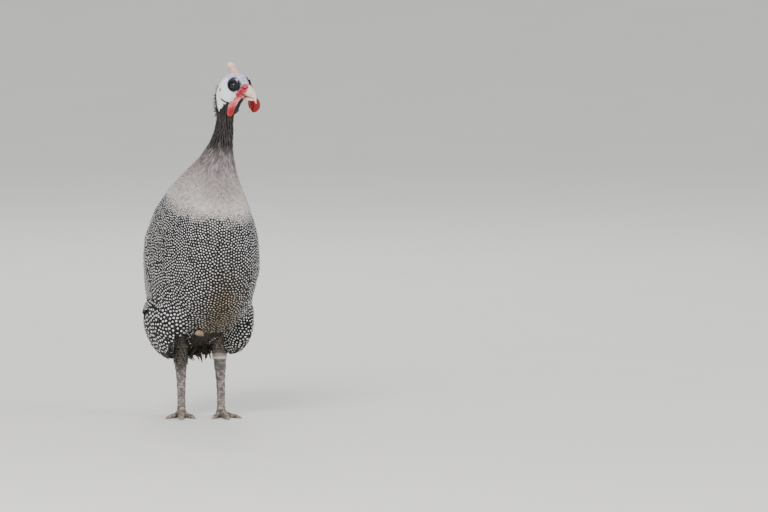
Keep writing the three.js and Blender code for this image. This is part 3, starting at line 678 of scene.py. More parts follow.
def dressed(name, co, faces, vane, roots, each, tint, material):
    """One coat piece with its barb map and its bake map."""
    spot = unwrap(roots)
    local = vane.reshape(len(roots), each, 2)
    span = np.abs(local).max(axis=(1, 2), keepdims=True)
    bake = spot[:, None] + local / np.maximum(span, 1e-9) * BAKE_SIZE
    return build(name, co, faces, material, {"vane": vane, "OFBake": bake.reshape(-1, 2)}, {"tint": tint})


DARK = np.array([0.013, 0.012, 0.014])
BROWN = np.array([0.022, 0.015, 0.009])
# Painted shade: the dark brown of the hollow between the legs, where shade falls
HOLLOW_SHADE = np.array([0.016, 0.012, 0.009])
THIGH = np.array([0.060, 0.050, 0.042])
TAN = np.array([0.36, 0.28, 0.19])
PLAIN = np.array([0.48, 0.415, 0.410])
PLAIN_LIGHT = np.array([0.61, 0.545, 0.515])
NECK_BLACK = np.array([0.007, 0.007, 0.010])
NECK_GREY = np.array([0.20, 0.165, 0.18])
LEG_LINES = [((28.5, 11, 88), (26.5, -2, 116)), ((-19, 29, 88), (-23.5, 15, 116))]
# A round patch of pale down on the belly, found along the line of view
patch_from = camera.location + camera.rotation_euler.to_matrix() @ Vector((-0.2390, -0.0950, 0))
PATCH_RADIUS, PATCH_CLEAR = 0.0040, 0.0055
TAN_PATCH = np.array(SKIN_TREE.ray_cast(patch_from, -look, 2 * FAR)[0])


def thigh_share(co):
    """1 on the short feathers of the upper leg."""
    best = np.zeros(len(co))
    for low, high in LEG_LINES:
        low, high = np.array(low) * MM + SHIFT, np.array(high) * MM + SHIFT
        t = np.clip((co[:, 2] - low[2]) / (high[2] - low[2]), 0, 1)[:, None]
        away = np.linalg.norm((co - (low + (high - low) * t))[:, :2], axis=1)
        best = np.maximum(best, smooth(away, 0.0135, 0.0108) * smooth(co[:, 2], 0.122, 0.111))
    return best


def hollow_shade(co):
    """1 in the hollow between the legs, which is painted darker as shade."""
    inside = smooth(co[:, 2], 0.121, 0.110) * smooth(np.abs(co[:, 0] - 0.003), 0.025, 0.019)
    return inside * (1 - thigh_share(co)) * (1 - lobe_share(co))


def body_tint(co):
    """The ground colour of the feathers at a place, before any spots, with painted shade in the hollow between the
    legs.
    """
    x, y, z = co.T
    belly = smooth(np.abs(x), 0.035, 0.0) * smooth(z, 0.24, 0.15) * smooth(y, 0.03, -0.04)
    # Painted shade darkens the hollow between the legs
    dark = layered(DARK, (BROWN, belly), (THIGH, thigh_share(co)), (HOLLOW_SHADE, hollow_shade(co)))
    stripe = smooth(np.abs(x + 0.003), 0.024, 0.004) * smooth(y, 0.0, -0.05) * smooth(z, 0.268, 0.32)
    plain = layered(PLAIN, (PLAIN_LIGHT, smooth(z, 0.33, 0.28)), ([0.22, 0.178, 0.195], 0.66 * stripe),
                    (NECK_GREY, smooth(z, 0.322, 0.355)), (NECK_BLACK, smooth(z, 0.350, 0.371)))
    return mix(plain, dark, smooth(bib_edge(co), -9, 14))


def varied(tint, spread, warm=0.05):
    """Each feather's colour, a little lighter or darker by spread, and warmer or cooler."""
    n = len(tint)
    light = 1 + np.broadcast_to(spread, n)[:, None] * rng.standard_normal((n, 1))
    return np.clip(tint * light * (1 + warm * rng.standard_normal((n, 3)) * [1, 0.3, 1]), 0.002, 1)


def shades(colour, count, spread, warm=0.05):
    """Many feathers of one colour, each a little different."""
    return varied(np.tile(colour, (count, 1)), spread, warm)


def lengthwise(co, low, high):
    """Which places are at the front, at the side and at the rear of the body."""
    y = co[:, 1]
    return {"front": y < low, "side": (y >= low) & (y < high), "rear": y >= high}


# The folded wing's own map

WING_TOP = np.array([(-62, 262), (-30, 277), (14, 267), (54, 238), (81, 200), (92, 158)]) * MM + [SHIFT[1], 0]
WING_LOW = np.array([(-74, 232), (-60, 196), (-24, 162), (20, 141), (58, 130), (84, 130)]) * MM + [SHIFT[1], 0]
KNOTS = np.linspace(0, 1, 6)
TOP_FIT = [np.polyfit(KNOTS, WING_TOP[:, k], 3) for k in (0, 1)]
LOW_FIT = [np.polyfit(KNOTS, WING_LOW[:, k], 3) for k in (0, 1)]


def wing_map(s, t):
    """y and z of a place on the folded wing: s from the bend to the tip, t from the upper to the lower edge."""
    return np.stack([np.polyval(TOP_FIT[k], s) * (1 - t) + np.polyval(LOW_FIT[k], s) * t for k in (0, 1)], -1)


WING_S, WING_T = np.meshgrid(np.linspace(-0.05, 1.08, 46), np.linspace(-0.1, 1.1, 25), indexing="ij")
WING_YZ = wing_map(WING_S, WING_T)
WING_TREE = tree_of(np.pad(WING_YZ.reshape(-1, 2), ((0, 0), (0, 1))))
FLAT_S, FLAT_T = WING_S.ravel(), WING_T.ravel()


def under_wing(co):
    """Where the long wing feathers take the place of the small ones."""
    out = np.zeros(len(co), dtype=bool)
    for k in np.nonzero((np.abs(co[:, 0]) > 0.02) & (co[:, 2] > 0.12) & (co[:, 2] < 0.29))[0]:
        _, j, dist = WING_TREE.find((co[k, 1], co[k, 2], 0))
        out[k] = dist < 0.004 and 0.56 < FLAT_S[j] < 1.0 and 0.02 < FLAT_T[j] < 0.95
    return out


def torso_zone(co):
    return (co[:, 2] > 0.088) & (co[:, 2] < 0.335) & ~under_wing(co)


def feather_gap(co):
    return (6.4 - 1.6 * smooth(co[:, 2], 0.26, 0.33) + 1.6 * lobe_share(co) - 2.6 * thigh_share(co)) * MM


roots, normals = scatter(feather_gap, torso_zone)
ahead = flow(roots, normals)
leg = thigh_share(roots)
long = 19 + 4 * lobe_share(roots) - 9 * leg - 3 * smooth(roots[:, 2], 0.26, 0.33)
# Short feathers edge the opening over the right leg, so that none bridges it
edge = smooth(np.abs(roots[:, 0] + 0.030), 0.024, 0.012) * smooth(np.abs(roots[:, 2] - 0.116), 0.018, 0.009)
edge *= roots[:, 1] < 0.016
long = long * (1 - 0.55 * edge)
length = long * MM * rng.uniform(0.86, 1.14, len(roots))
width = (12.5 - 3.5 * smooth(roots[:, 2], 0.25, 0.33) - 6.5 * leg) * MM * rng.uniform(0.9, 1.1, len(roots))
tint = varied(body_tint(roots), 0.05 + 0.06 * smooth(bib_edge(roots), 0, 20))
coats = []
for key, chosen in lengthwise(roots, -0.03, 0.045).items():
    coats.append(coat("coat_" + key, roots[chosen], normals[chosen], ahead[chosen], length[chosen], width[chosen],
                      (0.0004, 0.0026), tint[chosen], FEATHER))


def neck_gap(co):
    return (3.2 - 1.1 * smooth(co[:, 2], 0.32, 0.39)) * MM


def neck_zone(co):
    return (co[:, 2] > 0.262) & (co[:, 2] < 0.412) & (bib_edge(co) < 3)


# Hackles of the neck, narrower towards the head
roots, normals = scatter(neck_gap, neck_zone)
ahead = flow(roots, normals)
length = (17 - 5 * smooth(roots[:, 2], 0.33, 0.40)) * MM * rng.uniform(0.85, 1.15, len(roots))
width = (4.4 - 1.9 * smooth(roots[:, 2], 0.31, 0.38)) * MM
long_noise = 0.7 * wander(roots * [1, 1, 0.10], 0.0022, 5.0) + 0.6 * rng.standard_normal(len(roots))
dark_share = smooth(roots[:, 2], 0.295, 0.345) * smooth(roots[:, 2], 0.40, 0.375) * smooth(long_noise, 0.0, 0.7)
pale_share = smooth(roots[:, 2], 0.385, 0.36) * smooth(roots[:, 2], 0.30, 0.34) * smooth(-long_noise, 0.2, 0.8)
tint = layered(varied(body_tint(roots), 0.07), (NECK_BLACK, dark_share * 0.38), (PLAIN, pale_share * 0.3))
neck_coat = coat("coat_neck", roots, normals, ahead, length, width, (0.0006, 0.0030), tint, HACKLE,
                 (0.25, 0.35, 1.5), 7, 2, 0.0002, 0.08)
coats.append(neck_coat)

# The round patch of pale down lies on top of the belly's coat
count = 60
away = np.sqrt(rng.random(count)) * PATCH_RADIUS
turn = rng.uniform(0, 2 * math.pi, count)
roots = TAN_PATCH + np.stack([away * np.cos(turn), 0 * turn, 0.0018 + away * np.sin(turn)], 1)
roots = conform(roots, np.zeros(count))
normals = skin_n[[NORMAL_TREE.find(p)[1] for p in roots.tolist()]]
lie = flow(roots, normals)
ahead = unit(lie + 0.35 * np.cross(normals, lie) * (roots[:, :1] - TAN_PATCH[0]) / PATCH_RADIUS)
patch = coat("belly_patch", roots, normals, ahead, rng.uniform(0.0040, 0.0056, count), 0.0023,
             (0.0028, 0.0075), shades(TAN, count, 0.16), HACKLE, (0.25, 0.35, 1.4), 5, 2, 0.0001, 0.08)
finish_piece(patch, "plumage")


# White spots

def soup_tree(objects):
    """A tree over the square faces of several pieces, numbered from one piece to the next."""
    co, faces, base = [], [], 0
    for obj in objects:
        me = obj.data
        faces.append(values_of(me.loops, "vertex_index", 1, np.int32).reshape(-1, 4) + base)
        co.append(points_of(me))
        base += len(me.vertices)
    return BVHTree.FromPolygons(np.concatenate(co).tolist(), np.concatenate(faces).tolist())


def hits(tree, starts, directions, length, field):
    """One field of each ray's result: 2 is the face, 3 the distance. None where it meets nothing."""
    return [tree.ray_cast(p, d, length)[field] for p, d in zip(starts.tolist(), directions.tolist())]


def pearls(name, centres, normals, ahead, wide, long, tint, tree, proud=0.00016, sides=7, reach=0.008, own=None):
    """Small round spots laid on whatever feather lies on top at each place.

    own gives the first and last face of each spot's own feather: those that another feather hides are left out.
    """
    side = np.cross(normals, ahead)
    if own is not None:
        faces = hits(tree, centres + normals * reach, -normals, reach * 1.6, 2)
        shown = [k for k, face in enumerate(faces) if face is not None and own[k, 0] <= face < own[k, 1]]
        centres, normals, ahead, side, wide, long, tint = (
            x[shown] for x in (centres, normals, ahead, side, wide, long, tint))
    count = len(centres)
    a = np.linspace(0, 2 * math.pi, sides, endpoint=False)
    ring = np.stack([np.cos(a), np.sin(a)], 1)
    flat = np.concatenate([[[0, 0]], ring * 0.62, ring])
    dome = np.concatenate([[1.0], np.full(sides, 0.8), np.zeros(sides)])
    wobble = 1 + 0.10 * rng.standard_normal((count, len(flat))) * (dome < 0.5)
    x = flat[:, 0] * wobble * long[:, None] / 2
    y = flat[:, 1] * wobble * wide[:, None] / 2
    co = centres[:, None] + ahead[:, None] * x[..., None] + side[:, None] * y[..., None]
    n = np.repeat(normals, len(flat), 0)
    start = co.reshape(-1, 3) + n * reach
    down = -n
    hit = np.array(hits(tree, start, down, reach * 1.6, 3), dtype=float).reshape(count, -1)
    middle = np.median(np.where(np.isnan(hit), reach, hit), axis=1, keepdims=True)
    hit = np.clip(np.where(np.isnan(hit), middle, hit), middle - 0.0004, middle + 0.0004)
    rise = np.where(dome > 0, proud * (0.5 + 0.5 * dome), proud * 0.15)
    out = start.reshape(count, -1, 3) + down.reshape(count, -1, 3) * (hit - rise)[..., None]
    k = np.arange(sides)
    nxt = (k + 1) % sides
    fan = np.stack([np.zeros(sides, int), 1 + k, 1 + nxt], 1)
    skirt = np.concatenate([np.stack([1 + k, 1 + sides + k, 1 + sides + nxt], 1),
                            np.stack([1 + k, 1 + sides + nxt, 1 + nxt], 1)])
    faces = (np.concatenate([fan, skirt])[None] + (np.arange(count) * len(flat))[:, None, None]).reshape(-1, 3)
    bake = unwrap(centres)[:, None] + flat * BAKE_SIZE
    return build(name, out.reshape(-1, 3), faces, PEARL, {"OFBake": bake.reshape(-1, 2)},
                 {"paint": np.repeat(tint, len(flat), 0)})


# Long feathers of wings and tail

def vanes(name, axis, normal, width, tint, material, shape, cols=6, cup=0.0006, ragged=0.02, side=None):
    """Long vanes from their axis lines: axis and normal are (vane, row, 3); width is a number for each or for all."""
    ahead = unit(np.gradient(axis, axis=1))
    normal = squared(normal, ahead)
    side = np.cross(normal, ahead) if side is None else side
    count, rows = axis.shape[0], axis.shape[1] - 1
    u = np.linspace(0, 1, rows + 1)
    v = np.linspace(-1, 1, cols + 1)
    frayed = 1 + ragged * rng.standard_normal((count, rows + 1, cols + 1)) * (np.abs(v) > 0.9)
    wide = outline(u, shape)[None, :, None] * frayed
    across = v[None, None] * wide * np.broadcast_to(width, count)[:, None, None] / 2
    co = axis[:, :, None] + side[:, :, None] * across[..., None]
    co = co - normal[:, :, None] * (cup * v ** 2)[None, None, :, None]
    # A shaft stands a little proud of the vane
    co = co + normal[:, :, None] * (0.0002 * (np.abs(v) < 0.01))[None, None, :, None]
    run = np.linalg.norm(np.diff(axis, axis=1), axis=2)
    along = np.concatenate([np.zeros((count, 1)), np.cumsum(run, 1)], 1)
    vane = np.stack([np.broadcast_to(along[..., None], across.shape), across], -1).reshape(-1, 2) / BARB_UNIT
    each = (rows + 1) * (cols + 1)
    faces = (grid_faces(rows, cols)[None] + (np.arange(count) * each)[:, None, None]).reshape(-1, 4)
    obj = dressed(name, co.reshape(-1, 3), faces, vane, axis[:, 1], each, np.repeat(tint, each, 0), material)
    return obj, co, normal


def owners(co, places, first):
    """The range of faces of each mark's vane, where the vanes' faces begin at first."""
    each = (co.shape[1] - 1) * (co.shape[2] - 1)
    start = first + places[:, 0].astype(int) * each
    return np.stack([start, start + each], 1)


def marks_on(co, normal, places, flip=1.0):
    """Centres and directions for marks at (vane, u, v, wide, long) on a grid of vanes."""
    rows, cols = co.shape[1] - 1, co.shape[2] - 1
    k = places[:, 0].astype(int)
    fu = np.clip(places[:, 1] * rows, 0, rows - 0.001)
    fv = np.clip((places[:, 2] + 1) / 2 * cols, 0, cols - 0.001)
    iu, iv = fu.astype(int), fv.astype(int)
    du, dv = (fu - iu)[:, None], (fv - iv)[:, None]
    a, b = co[k, iu, iv], co[k, iu, iv + 1]
    c, d = co[k, iu + 1, iv], co[k, iu + 1, iv + 1]
    centre = (a * (1 - dv) + b * dv) * (1 - du) + (c * (1 - dv) + d * dv) * du
    ahead = unit((c - a) * (1 - dv) + (d - b) * dv + 1e-9)
    return centre, squared(normal[k, iu] * flip, ahead), ahead


def marked(name, slabs, tree, first):
    """One piece of white marks over vanes, each given as object, points, normals, places and sides to mark."""
    groups = []
    for obj, co, normal, places, flips in slabs:
        for flip in flips:
            groups.append((*marks_on(co, normal, places, flip), places[:, 3], places[:, 4],
                           owners(co, places, first)))
        first += len(obj.data.polygons)
    centre, n, ahead, wide, long, own = (np.concatenate(x) for x in zip(*groups))
    tint = shades(WHITE, len(centre), 0.06, 0.02)
    reach = 0.003 if len(flips) > 1 else 0.005
    finish_piece(pearls(name, centre, n, ahead, wide, long, tint, tree, reach=reach, own=own), "flight_plumage")
    return first


def finish_vanes(parts, node):
    """All the vanes of a wing or of the tail. The first takes the place of the CAD node."""
    for k, part in enumerate(parts):
        finish_piece(part[0], "flight_plumage", *([node] if k == 0 else []))


def wing_vanes(side, plan, rows=14):
    """Axis lines and normals over the folded wing: each vane runs from s0 to s1 and from t0 to t1."""
    far_out, ray = 0.12, 0.11
    count = len(plan["s0"])
    u = np.linspace(0, 1, rows + 1)
    s, t = (plan[k + "0"][:, None] + (plan[k + "1"] - plan[k + "0"])[:, None] * u for k in "st")
    yz = wing_map(s, t)
    axis = np.empty((count, rows + 1, 3))
    normal = np.empty_like(axis)
    for k in range(count):
        last = None
        for r in range(rows + 1):
            y, z = yz[k, r]
            spot = SKIN_TREE.ray_cast((side * far_out, y, z), (-side, 0, 0), ray)[0]
            if spot is not None:
                spot = Vector((spot[0], y, z))
                last = (spot, Vector(skin_n[NORMAL_TREE.find(spot)[1]]))
            elif last is not None:
                # Past the body's edge the vane goes on, a little inwards
                last = (Vector((last[0][0] - side * 0.0006, y, z)), last[1])
            axis[k, r], normal[k, r] = last or ((side * 0.05, y, z), (side, 0, 0))
    even_out(axis[..., 0], 4)
    even_out(normal, 4)
    normal[..., 0] = side * np.maximum(np.abs(normal[..., 0]), 0.55)
    normal = unit(normal)
    axis = axis + normal * (plan["height"][:, None] + plan["rise"] * u)[..., None]
    return axis, normal


QUILL_BROWN = np.array([0.075, 0.062, 0.052])
QUILL_DARK = np.array([0.030, 0.027, 0.028])
WHITE = np.array([0.76, 0.74, 0.71])


def tier(count, s0, s1, t_from, t_to, width, height, rise, tint, drift=0.0):
    """One row of wing feathers, from the upper edge of the wing to the lower."""
    t = np.linspace(t_from, t_to, count)
    jitter = rng.uniform(-0.014, 0.014, count)
    return dict(s0=np.linspace(*s0, count) + jitter, s1=np.linspace(*s1, count) + jitter, t0=t, t1=t + drift,
                width=width * rng.uniform(0.95, 1.05, count), rise=rise,
                height=height + np.linspace(0.0011, 0, count),
                tint=shades(tint, count, 0.1))


WING_TIERS = {
    "primaries": (tier(5, (0.68, 0.72), (1.06, 1.01), 0.72, 0.97, 0.0135, 0.0004, 0.0010, QUILL_BROWN, 0.02),
                  "bars", (0.12, 0.72, 2.4)),
    "secondaries": (tier(12, (0.58, 0.62), (1.0, 0.86), 0.05, 0.91, 0.0165, 0.0008, 0.0016, QUILL_DARK),
                    "bars", (0.12, 0.80, 3.0)),
    "greater_coverts": (tier(14, (0.55, 0.58), (0.80, 0.74), 0.03, 0.94, 0.0128, 0.0010, 0.0020, QUILL_DARK),
                        "dots", (0.2, 0.66, 2.4)),
    "median_coverts": (tier(15, (0.52, 0.54), (0.70, 0.66), 0.02, 0.95, 0.0118, 0.0012, 0.0024, DARK),
                       "dots", (0.25, 0.58, 2.3)),
}


def mark_places(kind, lengths):
    """Rows of white marks across each vane: round in the coverts, slanting bars on the outer web of the quills."""
    out = []
    for k, length in enumerate(lengths):
        rows = int(length / (0.0048 if kind == "dots" else 0.0060))
        for r in range(0 if kind == "dots" else 1, rows):
            u = (r + 0.25 + 0.5 * (k % 2)) / rows
            if kind == "dots":
                for v in (-0.75, -0.25, 0.25, 0.75):
                    shifted = u + 0.5 / rows * (v in (-0.25, 0.75))
                    out.append((k, shifted, v, 0.0023, 0.0021))
            else:
                out.append((k, u, 0.55, 0.0062, 0.0017))
                for v in (-0.66, -0.22, 0.08):
                    out.append((k, u + 0.02 * abs(v), v, 0.0022, 0.0019))
    out = np.array([p for p in out if p[1] < 0.96])
    out[:, 1] += rng.normal(0, 0.003, len(out))
    return out


wings = {}
for side, word in SIDES:
    wings[word] = []
    for key, (plan, kind, shape) in WING_TIERS.items():
        axis, normal = wing_vanes(side, plan)
        piece = vanes(f"wing_{word}_{key}", axis, normal, plan["width"], plan["tint"], FLIGHT, shape)
        wings[word].append((*piece, kind, axis))
COAT_TREE = soup_tree(coats + [part[0] for parts in wings.values() for part in parts])
COAT_FACES = sum(len(obj.data.polygons) for obj in coats)
first = COAT_FACES
for word, parts in wings.items():
    slabs = []
    for obj, co, normal, kind, axis in parts:
        places = mark_places(kind, np.linalg.norm(np.diff(axis, axis=1), axis=2).sum(1))
        if kind == "bars":
            # The outer web is the lower one: it changes side with the wing
            places[:, 2] *= -np.sign(np.mean(co[:, 5, -1, 2] - co[:, 5, 0, 2]))
        slabs.append((obj, co, normal, places, (1.0,)))
    first = marked(f"wing_{word}_spots", slabs, COAT_TREE, first)
    finish_vanes(parts, "wing_" + word)


# Spots of the small feathers

def spot_zone(co):
    # No white spots in the painted shade of the hollow between the legs
    return (bib_edge(co) > 0) & (co[:, 2] > 0.089) & (co[:, 2] < 0.33) & (hollow_shade(co) < 0.5)


spots = scatter(spot_gap, spot_zone)[0]
spots = settle(spots, spot_gap, 60)
n = skin_n[[NORMAL_TREE.find(p)[1] for p in spots.tolist()]]
# Those that would fall on a long wing feather are left out, as that has its own
faces = hits(COAT_TREE, spots + n * 0.008, -n, 0.013, 2)
on_coat = [k for k, face in enumerate(faces) if face is not None and face < COAT_FACES]
spots, n = spots[on_coat], n[on_coat]
lie = flow(spots, n)
leg = thigh_share(spots)
size = spot_gap(spots) * (0.55 + 0.05 * smooth(bib_edge(spots), 0, 30) + 0.05 * lobe_share(spots) - 0.1 * leg)
size *= rng.uniform(0.88, 1.1, len(spots))
size *= 0.62 + 0.38 * smooth(bib_edge(spots), 0, 12)
keep = np.linalg.norm(spots - TAN_PATCH, axis=1) > PATCH_CLEAR
spots, n, lie, leg, size = spots[keep], n[keep], lie[keep], leg[keep], size[keep]
tan = smooth(np.abs(spots[:, 0]), 0.048, 0.0) * smooth(spots[:, 2], 0.25, 0.14) * smooth(spots[:, 1], 0.03, -0.04)
white = mix([0.86, 0.85, 0.86], [0.40, 0.33, 0.25], tan)
white = varied(mix(white, [0.24, 0.21, 0.18], leg), 0.06, 0.02)
for key, chosen in lengthwise(spots, -0.045, 0.02).items():
    piece = pearls("pearls_" + key, spots[chosen], n[chosen], lie[chosen], size[chosen] * 1.12, size[chosen] * 0.86,
                   white[chosen], COAT_TREE)
    finish_piece(piece, "plumage")
for obj in coats[:-1]:
    finish_piece(obj, "plumage")
finish_piece(neck_coat, "neck_plumage", "neck")

TAIL_ROOT = np.array([0, 90, 166]) * MM + SHIFT
TAIL_DOWN = math.radians(65)
ACROSS = np.array([1.0, 0, 0])


def fan(name, count, root_shift, length, spread, root_width, width, bend, tent, tint, shape=(0.12, 0.8, 2.6), rows=12):
    """A fan of vanes from the tail's root. root_shift moves its start along the tail and off its plane."""
    k = np.linspace(-1, 1, count)
    turn = np.radians(spread) * k
    down = np.array([0, math.cos(TAIL_DOWN), -math.sin(TAIL_DOWN)])
    out = np.array([0, math.sin(TAIL_DOWN), math.cos(TAIL_DOWN)])
    u = np.linspace(0, 1, rows + 1)
    heading = down * np.cos(turn)[:, None] + ACROSS * np.sin(turn)[:, None]
    start = TAIL_ROOT + down * root_shift[0] + out * root_shift[1] + ACROSS * (root_width * k)[:, None]
    size = length * (1 - 0.10 * k ** 2) * rng.uniform(0.98, 1.02, count)
    axis = start[:, None] + heading[:, None] * (size[:, None] * u)[..., None]
    axis = axis - out * (tent * (k ** 2)[:, None] * (0.5 + u) + bend * u ** 2)[..., None]
    stack = 0.0011 * (1 - np.abs(k)) + 0.0002 * (np.arange(count) % 2)
    axis = axis + out * stack[:, None, None] * (0.4 + 0.6 * u)[None, :, None]
    normal = np.repeat((out + ACROSS * (0.35 * k)[:, None])[:, None], rows + 1, 1)
    return vanes(name, axis, normal, width, shades(tint, count, 0.1), FLIGHT, shape,
                 cup=0.0008)


def tail_places(co, step=0.0056):
    """Rows of four spots across each vane of a fan, staggered from one vane to the next."""
    count = co.shape[0]
    rows = int(np.linalg.norm(co[count // 2, -1, 3] - co[count // 2, 0, 3]) / step)
    places = [(j, (r + 0.5 * (j % 2)) / rows + 0.03 * abs(v), v, 0.0028, 0.0024)
              for j in range(count) for r in range(1, rows) for v in (-0.68, -0.24, 0.24, 0.68)]
    return np.array([p for p in places if p[1] < 0.96])


tail_parts = [
    fan("tail_rectrices", 14, (0.0, 0.0), 0.096, 13, 0.008, 0.0175, 0.004, 0.006, QUILL_DARK),
    fan("tail_upper_long", 9, (-0.004, 0.003), 0.062, 14, 0.010, 0.0175, 0.003, 0.006, DARK, (0.2, 0.62, 2.4)),
    fan("tail_upper_short", 8, (-0.010, 0.0056), 0.044, 18, 0.013, 0.0185, 0.002, 0.006, DARK, (0.2, 0.6, 2.4)),
    fan("tail_under", 8, (0.0, -0.0045), 0.056, 14, 0.010, 0.0185, 0.003, 0.003, BROWN, (0.2, 0.6, 2.4)),
]
slabs = [(obj, co, normal, tail_places(co), (1.0, -1.0)) for obj, co, normal in tail_parts]
marked("tail_spots", slabs, soup_tree([part[0] for part in tail_parts]), 0)
finish_vanes(tail_parts, "tail")

# Skin colours

form.name = "skin_body"
paint(form.data, "paint", body_tint(skin_co) * 0.8)
form.data.materials.clear()
form.data.materials.append(SKIN)
thinned(form, 0.3)
finish_piece(form, "plumage", "torso", "thigh_left", "thigh_right")


def fused_piece(name, nodes, voxel, passes, material, slot_name, sculpt, extra=None):
    """A fine copy of some nodes, shaped and painted by sculpt(co, normals) -> (moves, colours)."""
    obj = fused(name, nodes, voxel, passes, extra=extra)
    co, nn = points_of(obj.data), normals_of(obj.data)
    raise_by, colour = sculpt(co, nn)
    move(obj.data, co + nn * (raise_by * MM)[:, None])
    paint(obj.data, "paint", np.clip(colour, 0.003, 1))
    obj.data.materials.clear()
    obj.data.materials.append(material)
    return finish_piece(obj, slot_name, *nodes)


# The head

def near_line(f, u, a, b):
    """Distance of points in the side view from the line a to b."""
    a, b = np.array(a, float), np.array(b, float)
    p = np.stack([f, u], 1) - a
    t = np.clip(p @ (b - a) / np.dot(b - a, b - a), 0, 1)
    return np.linalg.norm(p - t[:, None] * (b - a), axis=1)


def head_extra(bm):
    """Lids and brow folds round the eyes, joined to the head before it is made fine."""
    turns, sides = 28, 8
    for side in (-1, 1):
        # Each roll: the radius of its ring, its own radius, and how far out it stands
        for ring, tube, out in ((6.3, 1.0, 13.9), (8.3, 0.75, 12.9)):
            outer = ring > 7
            made = []
            for k in range(turns):
                a = 2 * math.pi * k / turns
                for j in range(sides):
                    b = 2 * math.pi * j / sides
                    r = ring + tube * math.cos(b)
                    away = out - 0.35 * abs(math.sin(a)) * outer + tube * 0.9 * math.sin(b)
                    rise = (1.12 if outer else 1.0) * r * math.sin(a)
                    made.append(bm.verts.new(from_head(2.8 + r * math.cos(a), side * away, -2.0 + rise)))
            for k in range(turns):
                here, there = k * sides, (k + 1) % turns * sides
                for j in range(sides):
                    up = (j + 1) % sides
                    q = [made[here + j], made[there + j], made[there + up], made[here + up]]
                    bm.faces.new(q if side > 0 else q[::-1])
    bmesh.ops.recalc_face_normals(bm, faces=bm.faces)


def head_sculpt(co, nn):
    q = to_head(co)
    f, l, u = q[:, 0], np.abs(q[:, 1]), q[:, 2]
    w = wander(co, 0.004, 2.0)
    fine = wander(co, 0.0012, 4.0)
    side_on = smooth(l, 5, 9)
    eye = np.hypot((f - 3.5 + 0.12 * u) / 8.3, (u + 1.0) / 9.0) + 0.06 * w
    lids = np.hypot(f - 2.8, u + 2.2)
    cere = np.hypot(f - 18, u + 6) + 0.6 * w
    gape = near_line(f, u, (17, -9), (10, -15.5))
    lore = near_line(f, u, (9, 1.2), (16.5, -2.5))
    fold = near_line(f, u, (-17, -20.3), (-8, -25.5))
    nostril = np.hypot((f - 18.6) / 2.2, (u + 5.6) / 1.0)
    ear = np.hypot((f + 19.7 - 0.4 * (u + 8.8)) / 1.5, (u + 8.8) / 2.4)
    rise = 0.16 * np.sin(eye * 26) * smooth(eye, 1.25, 0.9) * smooth(eye, 0.5, 0.8) * side_on
    rise += 0.25 * w * smooth(cere, 8, 4) + 0.18 * fine * smooth(cere, 8, 4)
    rise -= 1.3 * smooth(nostril, 1.2, 0.4) * smooth(l, 2, 4)
    rise -= 0.35 * smooth(lore, 1.2, 0.3) * side_on
    rise -= 0.9 * smooth(ear, 1.2, 0.4) * side_on
    rise += (0.35 * smooth(fold, 3, 1.4) - 0.8 * smooth(fold, 1.1, 0.3)) * side_on
    rise += 0.10 * w + 0.05 * fine
    rise += 0.12 * np.sin(u * 2.2 + 1.5 * w) * smooth(u, 5, 9) * smooth(f, -24, -6)
    white = mix([0.80, 0.83, 0.90], [0.93, 0.94, 0.96], 0.5 + 0.6 * w)
    crown = mix([0.38, 0.41, 0.57], [0.70, 0.74, 0.88], 0.5 + 0.7 * fine)
    brow = mix([0.30, 0.30, 0.46], [0.56, 0.56, 0.72], 0.5 + 0.6 * fine)
    red = mix([0.26, 0.006, 0.018], [0.60, 0.07, 0.11], 0.5 + 0.6 * wander(co, 0.0018, 8.0))
    dark, black = [0.012, 0.012, 0.022], [0.012, 0.013, 0.013]
    ring = smooth(np.abs(lids - 9.0 - 0.5 * w), 0.7, 0.2) * smooth(u, -3, 2)
    throat = smooth(u, -17.5, -20.5) * smooth(l + 0.25 * (u + 24), 10.5, 8.5) * smooth(f, -13, -9)
    lappet = np.interp(f, [-36, -31, -27, -22, -17, -11, -7], [-27, -33, -37.5, -36, -30, -26, -23])
    throat = np.maximum(throat, smooth(u - (lappet + 1.6 * wander(co, 0.0016, 3.0)), 0.5, -0.7))
    nape = smooth(f + 0.25 * u + 0.6 * l - 0.7 * w, -26.5, -29.5) * smooth(u, 2, -6)
    nape = np.maximum(nape, smooth(l + 0.3 * u + w, 4.5, 2.5) * smooth(f, -24, -29) * smooth(u, 4, -4))
    colour = layered(
        white,
        (crown, smooth(u + 1.2 * w, 3.5, 9.0) * smooth(f, -26, -16)),
        (brow, smooth(f - 0.4 * l, 5, 9) * smooth(u, -4, 0) * 0.85),
        ([0.55, 0.30, 0.38], smooth(cere, 11, 7) * smooth(u, 1, -3) * 0.5),
        ([0.16, 0.17, 0.27], smooth(eye, 1.22, 1.02) * side_on * 0.6),
        (dark, smooth(eye, 1.08, 0.97) * side_on),
        ([0.12, 0.12, 0.17], ring * side_on * 0.7),
        (dark, smooth(lore, 1.5, 0.7) * side_on * 0.95),
        (red, np.maximum(smooth(cere, 7.2, 5.8), smooth(gape, 5.6, 4.4))),
        ([0.10, 0.01, 0.015], smooth(nostril, 1.1, 0.7)),
        ([0.08, 0.085, 0.10], smooth(ear, 1.25, 0.8) * side_on),
        (black, throat),
        (black, smooth(fold, 1.5, 0.8) * side_on),
        (black, nape))
    return rise, colour


def wattle_sculpt(side):
    def sculpt(co, nn):
        q = to_head(co)
        w = wander(co, 0.0028, 6.0)
        fine = wander(co, 0.0009, 1.0)
        # Painted shade: the side of each wattle that faces the head is painted darker red
        head_side_shade = smooth(-side * (nn @ AXES[1]), -0.1, 0.6)
        pink = mix([0.58, 0.085, 0.10], [0.76, 0.27, 0.31], smooth(w + 0.5 * fine, -0.4, 0.6))
        low = smooth(q[:, 2], -24, -33) if side < 0 else smooth(q[:, 2], -17, -23)
        colour = layered(pink, ([0.36, 0.003, 0.008], low), ([0.34, 0.006, 0.010], head_side_shade * 0.85))
        return 0.28 * w + 0.14 * fine, colour
    return sculpt


